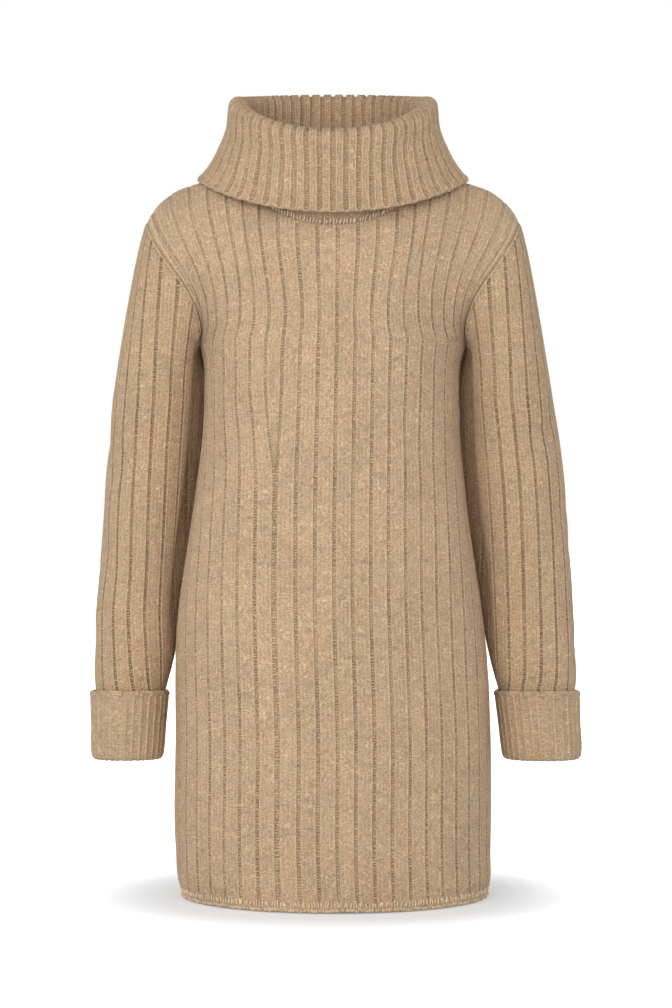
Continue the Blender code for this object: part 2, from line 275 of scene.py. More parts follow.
def off_ridge(out: Array, reach: float = 0.001) -> Array:
    """Directions square to the ridge of the shoulder, in the plane of the side seams.

    Args:
        out: Places along the ridge, less than nought on the wearer's right.
        reach: How far to each side of a place its slope is taken.

    Returns:
        The directions, each with a rise of one.
    """
    high = np.minimum(np.abs(out) + reach, SHOULDER_OUT)
    low = np.abs(out) - reach
    slope = (RIDGE.read("height", high) - RIDGE.read("height", low)) / (high - low)
    return np.stack([-slope * np.sign(out), 0 * out, 1 + 0 * out], -1)


def turn_towards(facing: Array, rule: Array, distance: Array) -> Array:
    """Lean directions to a rule over the last centimetre before an edge."""
    near = (1 - ramp(distance, 0.0, EDGE_TURN))[..., None]
    return unit(facing * (1 - near) + rule * near)


def normals(grid: Array, closed: bool) -> Array:
    """Directions square to a grid of points, as the cross product of its steps.

    Args:
        grid: Rows and columns of points.
        closed: Whether the columns run all the way round.

    Returns:
        A direction for every point.
    """
    if closed:
        across = np.roll(grid, -1, axis=1) - np.roll(grid, 1, axis=1)
    else:
        across = np.gradient(grid, axis=1)
    return unit(np.cross(across, np.gradient(grid, axis=0)))


def tube_facing(base: Array) -> Array:
    """Directions off a tube that is folded over, to the side that faces out at its last row."""
    facing = normals(base, closed=True)
    return facing * np.sign((facing[-1] * (base[-1] - base[-1].mean(axis=0))).sum(-1).mean())


class Swell(NamedTuple):
    """Rounded ridge, or groove where its height is less than nought, that runs along an edge."""

    height: float
    middle: float
    width: float

    def at(self, distance: Array) -> Array:
        """Height of the swell, a bell across it, at a distance from the edge."""
        return self.height * hump(distance, self.middle, self.width)


SEAM_GROOVE = Swell(-0.001, 0.0, 0.0014)  # in the outside of the cloth beside a seam


@dataclass(frozen=True)
class Rib:
    """Wide rib: flat bands of knit wales with sunken gutters of purl between them.

    The rib coordinate counts ribs across the cloth and is whole in the middle of each gutter.
    """

    pitch: float
    gutter: float  # half-width of a gutter, as a share of the pitch
    depth: float
    lift: float  # how far the wale beside a gutter stands proud
    steps: tuple[float, ...]  # places of the mesh's columns from one gutter to the next

    def relief(self, rib: Array, past_end: Array | float = 0.0) -> Array:
        """Height of the cloth over its mean surface.

        Args:
            rib: Rib coordinate.
            past_end: Metres past the middle of a gutter's rounded end, nought along the gutter.

        Returns:
            Minus the depth in the gutters, a low bead beside them and a faint crown between.
        """
        off = self.off(rib, past_end)
        wall = ramp(off, self.gutter * 0.72, self.gutter * 1.12)
        bead = self.lift * hump(off, self.gutter * 1.55, self.gutter * 0.42)
        crown = 0.35 * self.lift * ramp(off, self.gutter * 1.8, 0.5)
        return (wall - 1) * self.depth + (bead + crown) * wall

    def off(self, rib: Array, past_end: Array | float = 0.0) -> Array:
        """Distance from the nearest gutter or from the middle of its rounded end, in ribs."""
        return np.minimum(np.hypot(rib - np.round(rib), np.asarray(past_end) / self.pitch), 0.5)

    def chart(self, rib: Array, past_end: Array) -> Array:
        """Rib coordinate for the material, bent so that its lines close round a gutter's end."""
        off = self.off(rib, past_end)
        return np.round(rib) + np.where(rib < np.round(rib), -off, off)

    def columns(self, low: float, high: float) -> Array:
        """Rib coordinates of the mesh's columns between two places.

        Args:
            low: Where the columns begin, which isn't one of them.
            high: Where they end, which isn't either.

        Returns:
            The coordinates, in rising order.
        """
        whole = np.arange(math.floor(low) - 1, math.ceil(high) + 1)
        places = (whole[:, None] + np.array(self.steps)).ravel()
        return places[(places > low) & (places < high)]

    def across(self, reach: float, shift: float) -> Array:
        """Places of the mesh's columns on a flat piece, an odd number of them.

        Args:
            reach: Ribs from the middle of the piece to the first and the last column.
            shift: Ribs from the gutter beside the middle to the middle.

        Returns:
            The places, in ribs from the middle.
        """
        ribs = np.concatenate([[-reach], self.columns(-reach - shift, reach - shift) + shift, [reach]])
        return ribs if len(ribs) % 2 else np.delete(ribs, 1)

    def round_tube(self, count: int) -> Array:
        """Rib coordinates of the mesh's columns once round a tube of that many ribs."""
        return self.columns(-0.0001, count - 0.001)


FINE_STEPS = (0.0, 0.056, 0.082, 0.11, 0.15, 0.24, 0.36, 0.5, 0.64, 0.76, 0.85, 0.89, 0.918, 0.944)
COLLAR_STEPS = (0.0, 0.09, 0.15, 0.2, 0.25, 0.33, 0.42, 0.5, 0.58, 0.67, 0.75, 0.8, 0.85, 0.91)
CUFF_STEPS = (0.0, 0.1, 0.17, 0.215, 0.25, 0.285, 0.36, 0.5, 0.64, 0.715, 0.75, 0.785, 0.83, 0.9)
BODY_RIB = Rib(pitch=0.0196, gutter=0.082, depth=0.0013, lift=0.0005, steps=FINE_STEPS)
SLEEVE_RIB = Rib(pitch=0.0186, gutter=0.088, depth=0.0017, lift=0.0005, steps=FINE_STEPS)
COLLAR_RIB = Rib(pitch=0.014, gutter=0.175, depth=0.0022, lift=0.0004, steps=COLLAR_STEPS)
CUFF_RIB = Rib(pitch=0.0185, gutter=0.25, depth=0.0011, lift=0.0006, steps=CUFF_STEPS)


class Crease(NamedTuple):
    """Soft trough or ridge in the cloth; out and height place its middle, tilt leans its top out."""

    out: float
    height: float
    tilt: float
    half_length: float
    width: float
    depth: float
    draw: float = 0.0

    def at(self, out: Array, height: Array) -> tuple[Array, Array]:
        """Work out how a crease moves the cloth.

        Args:
            out: Distance across the cloth.
            height: Height on the cloth.

        Returns:
            Offset out of the cloth, a bell across the crease that dies away along it, and the
            shift sideways towards the crease's line.
        """
        lean = math.radians(self.tilt)
        right, up = out - self.out, height - self.height
        along = right * math.sin(lean) + up * math.cos(lean)
        across = right * math.cos(lean) - up * math.sin(lean)
        bell = hump(across, 0, self.width) * hump(along, 0, self.half_length)
        return self.depth * bell, -self.draw * across * bell


def fold_in(creases: tuple[Crease, ...], out: Array,
            height: Array) -> tuple[Array, Array]:
    """Add up the offsets and the sideways shifts of several creases."""
    offsets, shifts = zip(*(crease.at(out, height) for crease in creases))
    return sum(offsets), sum(shifts)


def signed_volume(points: Array, faces: list[Array]) -> float:
    """Six times the volume inside a closed mesh, as the sum over the triangles of its faces.

    Args:
        points: Points of the mesh.
        faces: Arrays with a row of points' numbers for each face.

    Returns:
        The volume, less than nought where the faces point in.
    """
    total = 0.0
    for part in faces:
        for corner in range(1, part.shape[1] - 1):
            first, second, third = (points[part[:, spot]] for spot in (0, corner, corner + 1))
            total += float((first * np.cross(second, third)).sum())
    return total


def mesh_of(name: str, points: Array, faces: list[Array]) -> bpy.types.Mesh:
    """Put points and faces into a smooth mesh.

    Args:
        name: Name of the new mesh.
        points: Its points.
        faces: Arrays with a row of points' numbers for each face.

    Returns:
        The mesh.
    """
    mesh = bpy.data.meshes.new(name)
    corners = np.concatenate([part.ravel() for part in faces])
    sizes = np.concatenate([np.full(len(part), part.shape[1]) for part in faces])
    starts = np.concatenate([[0], np.cumsum(sizes)[:-1]])
    mesh.vertices.add(len(points))
    mesh.vertices.foreach_set("co", points.astype(np.float32).ravel())
    mesh.loops.add(len(corners))
    mesh.loops.foreach_set("vertex_index", corners.astype(np.int32))
    mesh.polygons.add(len(sizes))
    mesh.polygons.foreach_set("loop_start", starts.astype(np.int32))
    mesh.update(calc_edges=True)
    mesh.shade_smooth()
    return mesh


def place(name: str, data: bpy.types.ID) -> Thing:
    """Put a mesh, a lamp's light or a camera into the scene as an object at the origin.

    Args:
        name: Name of the new object.
        data: What it shows.

    Returns:
        The object.
    """
    thing = bpy.data.objects.new(name, data)
    bpy.context.scene.collection.objects.link(thing)
    return thing


def rounded(distance: Array) -> Array:
    """How far each side of the wall draws in near a free edge, so that the edge is half round."""
    short = np.clip(WALL / 2 - distance, 0, WALL / 2)
    return WALL / 2 - np.sqrt((WALL / 2) ** 2 - short * short)


def edge_rows(length: float, step: float, free_start: bool, free_end: bool) -> Array:
    """Even places along a length, with close ones at its free ends.

    Args:
        length: Where the last place is; the first is at nought.
        step: Distance between even places, as near as it fits.
        free_start: Whether close places follow the first.
        free_end: Whether close places lead up to the last.

    Returns:
        The places, an odd number of them.
    """
    close, lone = np.array([0.0, 0.08, 0.3, 0.65, 1.1]) * WALL / 2, np.array([0.0])
    start = close if free_start else lone
    end = length - (close if free_end else lone)[::-1]
    count = max(2, round((end[0] - start[-1]) / step))
    if (len(start) + len(end) + count) % 2 == 1:
        count += 1
    between = np.linspace(start[-1], end[0], count + 1)[1:-1]
    return np.concatenate([start, between, end])


@dataclass
class Cloth:
    """Closed wall of cloth between an outside and an inside grid of points."""

    base: Array  # rows and columns of points on the smooth surface it follows
    facing: Array  # directions out of the wall at those points
    rib: Array  # rib coordinates, with one more column where it is closed
    course: Array  # courses counted up the cloth, shaped as rib is
    outer: Array  # how far the outside stands off the base, along its facing
    inner: Array  # how far the inside does
    ribbing: Array  # 1 where ribs run, 0 on plain edges
    closed: bool  # whether the columns run all the way round
    chain: Array | None = None  # distance from the armhole, where the piece has one

    def outside(self, lift: float = 0.0) -> Array:
        """Points of the outside, or of a surface that stands a little proud of it."""
        return self.base + self.facing * (self.outer[..., None] + lift)

    def build(self, name: str) -> Thing:
        """Make the wall: every point outside, every second row and column inside.

        Args:
            name: Name of the new object.

        Returns:
            The object, in the scene, with its knit map and both attributes.
        """
        inside = (self.base + self.facing * self.inner[..., None])[::2, ::2]
        points = np.concatenate([self.outside().reshape(-1, 3), inside.reshape(-1, 3)])
        spots = self.spots()
        if signed_volume(points, [part[..., 0] for part in spots]) < 0:
            spots = [part[:, ::-1] for part in spots]
        mesh = mesh_of(name, points, [part[..., 0] for part in spots])
        corners = np.concatenate([part.reshape(-1, 3) for part in spots])
        chart = np.stack([self.rib, self.course], -1)[corners[:, 1], corners[:, 2]]
        mesh.uv_layers.new(name=KNIT_MAP).uv.foreach_set("vector", chart.astype(np.float32).ravel())
        chain = 0 * self.ribbing + FAR_OFF if self.chain is None else self.chain
        for word, share in ((RIBBING, self.ribbing), (CHAIN, chain)):
            attribute = mesh.attributes.new(word, "FLOAT", "POINT")
            values = np.concatenate([share.ravel(), share[::2, ::2].ravel()])
            attribute.data.foreach_set("value", values.astype(np.float32))
        return place(name, mesh)

    def spots(self) -> list[Array]:
        """Work out the faces of the outside, of the inside and of the rims between them.

        Returns:
            Arrays of faces. A corner is the number of its point, then the row and the column
            at which the knit map is read for it.
        """
        rows, columns = self.base.shape[:2]
        half_rows, half_columns = (rows + 1) // 2, (columns + 1) // 2
        steps = columns if self.closed else columns - 1

        def outer_spot(row: Array, column: Array) -> Array:
            """Corner at a row and a column of the outside."""
            return np.stack([row * columns + column % columns, row, column], -1)

        def inner_spot(row: Array, column: Array) -> Array:
            """Corner at a row and a column of the inside."""
            corner = rows * columns + row * half_columns + column % half_columns
            return np.stack([corner, 2 * row, 2 * column], -1)

        row, column = np.mgrid[0:rows - 1, 0:steps].reshape(2, -1)
        outside = np.stack([outer_spot(row, column), outer_spot(row, column + 1),
                            outer_spot(row + 1, column + 1), outer_spot(row + 1, column)], 1)
        row, column = np.mgrid[0:half_rows - 1, 0:steps // 2].reshape(2, -1)
        inside = np.stack([inner_spot(row + 1, column), inner_spot(row + 1, column + 1),
                           inner_spot(row, column + 1), inner_spot(row, column)], 1)
        spots = [outside, inside]
        column = np.arange(steps // 2)
        for edge in (0, half_rows - 1):
            row = np.full_like(column, edge)
            rim = [inner_spot(row, column), inner_spot(row, column + 1)]
            rim += [outer_spot(2 * row, 2 * column + step) for step in (2, 1, 0)]
            spots.append(np.stack(rim if edge == 0 else rim[::-1], 1))
        if not self.closed:
            row = np.arange(half_rows - 1)
            for edge in (0, half_columns - 1):
                column = np.full_like(row, edge)
                rim = [inner_spot(row + 1, column), inner_spot(row, column)]
                rim += [outer_spot(2 * row + step, 2 * column) for step in (0, 1, 2)]
                spots.append(np.stack(rim if edge == 0 else rim[::-1], 1))
        return spots


@dataclass(frozen=True)
class PanelForm:
    """Smooth surface of the front or the back: a depth at every place across and up."""

    way: float  # the way that the panel faces, -1 for the front and 1 for the back
    column: str  # of the body's sections, which gives the depth in the middle
    neck_drop: float
    armhole_reach: float  # depth to which the armhole reaches, halfway up it
    roll: float  # from the ridge of the shoulder down to where the depth is full

    def shoulder_roll(self, out: Array, height: Array) -> Array:
        """Share of the full depth reached below the ridge of the shoulder, a quarter ellipse."""
        below = (RIDGE.read("height", np.abs(out)) - height) / self.roll
        return np.sqrt(1 - (1 - np.clip(below, 0, 1)) ** 2)

    def half_width(self, height: Array) -> Array:
        """Half-width of the ellipse of a section; above the underarm it passes the armhole.

        Args:
            height: Heights of the sections.

        Returns:
            A half-width for each, at which the ellipse is as deep at the armhole's edge as the
            half ellipse that the armhole describes from underarm to shoulder.
        """
        tall = ARMHOLE_RISE / 2
        level = np.clip(height, UNDERARM, SHOULDER_POINT - 0.02 * tall)
        edge = ARMHOLE.read("half_width", level)
        share = (level - ARMHOLE_MIDDLE) / tall
        reach = self.armhole_reach * np.sqrt(np.clip(1 - share ** 2, 0, 1))
        share = reach / (BODY.read(self.column, level) * self.shoulder_roll(edge, level))
        above = edge / np.sqrt(1 - share ** 2)
        return np.where(height < UNDERARM, BODY.read("half_width", height), above)

    def depth(self, out: Array, height: Array) -> Array:
        """Distance from the plane of the side seams: a half ellipse across each section."""
        full = BODY.read(self.column, height) * self.shoulder_roll(out, height)
        return full * np.sqrt(1 - np.clip(out / self.half_width(height), -1, 1) ** 2)

    def top_height(self, out: Array) -> Array:
        """Height of the top edge: the scoop of the neck, then the ridge of the shoulder."""
        scoop = -self.neck_drop * np.sqrt(np.clip(1 - (out / NECK_HALF) ** 2, 0, 1))
        return np.where(out < NECK_HALF, scoop, RIDGE.read("height", out))


FRONT = PanelForm(way=-1.0, column="front", neck_drop=0.0725, armhole_reach=0.055, roll=0.27)
BACK = PanelForm(way=1.0, column="back", neck_drop=0.012, armhole_reach=0.05, roll=0.15)


class Dart(NamedTuple):
    """Place where one rib is knitted away on one half of a panel, so that its gutters meet."""

    side: int
    rib: float  # ribs from the centre to the nearer of the two gutters
    top: float
    bottom: float

    def gone(self, side: Array, height: Array) -> Array:
        """Share of the rib that is gone at each height, on this half of the panel."""
        return np.where(side == self.side, ramp(-height, -self.top, -self.bottom), 0.0)

    def drawn(self, counted: Array) -> Array:
        """Ribs by which each column moves in when the rib is wholly gone."""
        return np.interp(counted - self.rib, (-2.75, -1.0, 0.0, 1.0, 2.0, 3.0),
                         (0.0, -0.1, -0.27, 0.66, 0.58, 0.5))

    def sunk(self, counted: Array, gone: Array) -> Array:
        """Share by which the vanishing rib has become part of the gutter."""
        within = (counted > self.rib) & (counted < self.rib + 1)
        return np.where(within, ramp(gone, 0.72, 0.97), 0.0)


class Node(Enum):
    """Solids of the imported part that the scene's pieces stand for."""

    FRONT = "front_panel"
    BACK = "back_panel"
    SLEEVE_LEFT = "sleeve_left"
    SLEEVE_RIGHT = "sleeve_right"
    CUFF_LEFT = "cuff_left"
    CUFF_RIGHT = "cuff_right"
    COLLAR = "cowl_collar"


class Finish(Enum):
    """Kinds of knitted surface on the sweater."""

    BODY = "body wool"
    SLEEVE = "sleeve wool"
    COLLAR = "collar wool"
    CUFF = "cuff wool"
    TRIM = "seam yarn"
    LOOP = "loop yarn"
    EDGE = "edge yarn"


class Cut(NamedTuple):
    """How a piece was cut: its wool, its slot, the width and length it lay flat in, and its area."""

    finish: Finish
    slot: str
    width: float
    length: float
    area: float


CUTS = {
    Node.FRONT: Cut(Finish.BODY, "body_rib", 0.47, 0.825, 0.34),
    Node.BACK: Cut(Finish.BODY, "body_rib", 0.465, 0.83, 0.345),
    Node.SLEEVE_LEFT: Cut(Finish.SLEEVE, "sleeve_rib", 0.42, 0.55, 0.16),
    Node.SLEEVE_RIGHT: Cut(Finish.SLEEVE, "sleeve_rib", 0.415, 0.55, 0.155),
    Node.CUFF_LEFT: Cut(Finish.CUFF, "cuff_rib", 0.295, 0.15, 0.0405),
    Node.CUFF_RIGHT: Cut(Finish.CUFF, "cuff_rib", 0.275, 0.15, 0.0375),
    Node.COLLAR: Cut(Finish.COLLAR, "collar_rib", 0.84, 0.235, 0.165),
}


@dataclass
class Piece:
    """Cut piece of the sweater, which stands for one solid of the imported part."""

    node: Node
    name: str
    cloth: Cloth = field(init=False)

    def build(self) -> Thing:
        """Lay the piece's cloth and make its mesh."""
        self.lay()
        return self.cloth.build(self.name)

    def lay(self) -> None:
        """Lay the cloth, which each kind of piece does in its own way."""
        raise NotImplementedError

    def dress(self, thing: Thing, trims: tuple[Thing, ...],
              wools: dict[Finish, bpy.types.Material]) -> None:
        """Let the piece stand for its solid, with the wool of its cut's finish and its trims.

        Args:
            thing: The piece's object.
            trims: Yarn worked along its edges.
            wools: Material of every finish.
        """
        cut = CUTS[self.node]
        thing.data.materials.append(wools[cut.finish])
        for trim in trims:
            ending = trim.name.rsplit("_", 1)[1]
            trim.data.materials.append(wools[TRIMS[ending]])
            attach(trim, "root")
        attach(thing, "root")
        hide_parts(self.node.value)
        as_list(trims)
        LOG.info("%s: %d faces", thing.name, len(thing.data.polygons))


@dataclass
class Panel(Piece):
    """Front or back panel: ribs run straight up and follow the armholes near the sides."""

    form: PanelForm
    creases: tuple[Crease, ...]
    dart: Dart
    rib_shift: float = 0.25  # ribs between the centre line and the gutter beside it
    last_rib: float = 12.7  # where the columns of the mesh end, in ribs from the centre
    top_ribs: float = 10.1  # ribs from the centre to the shoulder point, along the top
    row_step: float = 0.0045
    yoke_rows: int = 40
    hem_plain: float = 0.0085  # height of the plain edge below the ribs
    hem_start: float = 0.004  # over which the ribs rise above it
    hem_roll: Swell = Swell(0.0008, 0.0025, 0.002)
    hem_groove: Swell = Swell(-0.001, 0.0088, 0.0034)
    calm_out: Span = (0.095, 0.165)  # where the shoulder's ribs grow calm
    calm_height: Span = (-0.16, -0.05)
    calm_relief: float = 0.6  # share of the relief that is lost there
    calm_stitches: float = 0.25  # share of the stitches' contrast that is lost there

    def lay(self) -> None:
        """Lay the mesh of the panel over its form."""
        ribs = BODY_RIB.across(self.last_rib, self.rib_shift)
        side = np.sign(ribs)
        half, counted, lean = self.half_grid(np.abs(ribs), side)
        out, height = half[..., 0], half[..., 1]
        deep = np.maximum(self.form.depth(out, height), SEAM_GAP / 2)
        base = np.stack([lean[:, None] + out * side, self.form.way * deep, height], -1)
        from_hem = run_along(base)
        from_top = from_hem[-1] - from_hem
        last = np.where(side > 0, counted[:, -1:], counted[:, :1])
        from_side = (last - counted) * BODY_RIB.pitch
        facing = self.facing(base, from_side, from_top)
        seams = np.minimum(from_side, from_top)
        fold, shift = fold_in(self.creases, base[..., 0], height)
        base = base + facing * (fold * ramp(seams, 0.0, CREASE_MARGIN))[..., None]
        base[..., 0] += shift * ramp(seams, 0.0, CREASE_MARGIN)
        rib = side * counted - self.rib_shift
        sunk = self.dart.sunk(counted, self.dart.gone(side[None], height))
        rib += (np.round(rib) - rib) * sunk
        ribbing = ramp(seams, *RIB_START)
        ribbing = ribbing * ramp(from_hem, self.hem_plain, self.hem_plain + self.hem_start)
        calm = ramp(out, *self.calm_out) * ramp(height, *self.calm_height)
        relief = BODY_RIB.relief(rib) * ribbing * (1 - self.calm_relief * calm)
        pull = rounded(from_hem)
        outer = relief + self.hem_roll.at(from_hem) + self.hem_groove.at(from_hem) - pull
        outer = outer + SEAM_GROOVE.at(from_side) + SEAM_GROOVE.at(from_top)
        inner = relief * ramp(seams, *INSIDE_START) - WALL + pull
        below = FAR_OFF * ramp(height, UNDERARM + 0.01, UNDERARM - 0.01)
        self.cloth = Cloth(base, facing, rib, from_hem / COURSE, outer, inner,
                           ribbing * (1 - self.calm_stitches * calm), closed=False,
                           chain=from_side + below)

    def half_grid(self, ribs: Array,
                  side: Array) -> tuple[Array, Array, Array]:
        """Place the columns across one half of the panel.

        Args:
            ribs: Columns, in ribs from the centre.
            side: Which half each column is on.

        Returns:
            Out and height of every point, its ribs from the centre, and the lean of every row.
        """
        height = HEM + edge_rows(UNDERARM - HEM, self.row_step, True, False)
        turn = np.linspace(0, pi / 2, 161)
        edge = BODY.read("half_width", height)
        section = edge[:, None] * np.sin(turn)
        deep = self.form.depth(section, np.repeat(height[:, None], len(turn), axis=1))
        arc = run_along(np.stack([section, deep], -1).transpose(1, 0, 2)).T
        count = arc[:, -1:] / BODY_RIB.pitch
        gone = self.dart.gone(side[None], height[:, None])
        counted = squeeze(ribs[None, :], self.last_rib, count + 0.5 * gone)
        placed = counted - gone * self.dart.drawn(counted)
        out = read_rows(placed * BODY_RIB.pitch, arc, section)
        low = np.stack([out, np.repeat(height[:, None], len(ribs), axis=1)], -1)
        climb, upper = self.yoke_levels()
        yoke_count = count[-1] + (self.top_ribs - count[-1]) * climb[:, None]
        yoke_counted = squeeze(ribs[None, :], self.last_rib, yoke_count)
        part = yoke_counted / yoke_count
        under = np.interp(part, arc[-1] / arc[-1, -1], section[-1] / edge[-1])
        top = self.top_share(part)
        share = under + (top - under) * climb[:, None]
        out = share * ARMHOLE.read("half_width", upper)[:, None]
        rise = (self.form.top_height(top * SHOULDER_OUT) - UNDERARM) * climb[:, None]
        high = np.stack([out, UNDERARM + rise], -1)
        lean = np.concatenate([BODY.read("lean", height), np.zeros(len(climb))])
        return np.concatenate([low, high]), np.concatenate([counted, yoke_counted]), lean

    def yoke_levels(self) -> tuple[Array, Array]:
        """Set the rows between underarm and shoulder, as half a turn of a circle seen edge on.

        Returns:
            How far each row has climbed, from 0 to 1, and its height at the armhole.
        """
        turn = np.linspace(0, pi, self.yoke_rows + 1)[1:]
        turn = np.sort(np.concatenate([turn, pi - np.array([0.01, 0.022, 0.037, 0.056])]))
        climb = (1 - np.cos(turn)) / 2
        return climb, UNDERARM + climb * ARMHOLE_RISE

    def top_share(self, part: Array, along_share: float = 0.25) -> Array:
        """Place on the top edge, as a share of its width: mostly even steps out, partly along it.

        Args:
            part: Share of the ribs from the centre.
            along_share: Weight of even steps along the edge.

        Returns:
            The places, from 0 at the centre to 1 at the shoulder point.
        """
        out = np.linspace(0, SHOULDER_OUT, 400)
        run = run_along(np.stack([out, self.form.top_height(out)], -1))
        along = np.interp(part * run[-1], run, out) / SHOULDER_OUT
        return (1 - along_share) * part + along_share * along

    def facing(self, base: Array, from_side: Array, from_top: Array) -> Array:
        """Directions out of the cloth; at a seam both neighbours share one direction.

        Args:
            base: Points of the panel.
            from_side: Their distance from its side edge.
            from_top: Their distance from its top edge.

        Returns:
            A direction for every point.
        """
        facing = normals(base, closed=False)
        facing *= np.sign(self.form.way * facing[..., 1:2] + 1e-9)
        first = len(base) - len(self.yoke_levels()[0]) - 1
        rule = np.zeros_like(base)
        for column, side in ((0, -1), (-1, 1)):
            half = slice(None, base.shape[1] // 2) if side < 0 else slice(base.shape[1] // 2, None)
            edge = base[:, column] - (side * ARMHOLE.rows[0].half_width, 0, ARMHOLE_MIDDLE)
            edge[:first] = (side, 0, 0)
            edge[first] = (0, 0, -1)
            edge[-1, 1] = 0
            rule[:, half] = unit(edge)[:, None]
        facing = turn_towards(facing, rule, from_side)
        top, away, out = facing[-1].copy(), base[-1] * (1, 1, 0), base[-1, :, 0]
        on_neck = (np.abs(out) < NECK_HALF)[:, None]
        rim = unit(np.where(on_neck, unit(top) + unit(away), off_ridge(out)))
        return turn_towards(facing, rim[None], from_top)

    def armhole(self, side: int) -> tuple[Array, Array, Array]:
        """Edge of one armhole, from the underarm up.

        Args:
            side: 1 for the wearer's left, -1 for the right.

        Returns:
            The turn, the points and the facing of the edge.
        """
        first = len(self.cloth.base) - len(self.yoke_levels()[0]) - 1
        column = -1 if side > 0 else 0
        edge = self.cloth.base[first:, column]
        share = (edge[:, 2] - UNDERARM) / ARMHOLE_RISE
        return np.arccos(1 - 2 * np.clip(share, 0, 1)), edge, self.cloth.facing[first:, column]

    def neck(self) -> tuple[Array, Array, Array]:
        """Edge of the neck from left to right, with the first point of each shoulder seam.

        Returns:
            The turn from the centre, the points and the facing of the edge.
        """
        inside = np.flatnonzero(np.abs(self.cloth.base[-1, :, 0]) <= NECK_HALF)
        kept = slice(inside[0] - 1, inside[-1] + 2)
        edge, facing = self.cloth.base[-1, kept], self.cloth.facing[-1, kept].copy()
        facing[0], facing[-1] = facing[1], facing[-2]
        return np.arcsin(np.clip(edge[:, 0] / NECK_HALF, -1, 1)), edge, facing


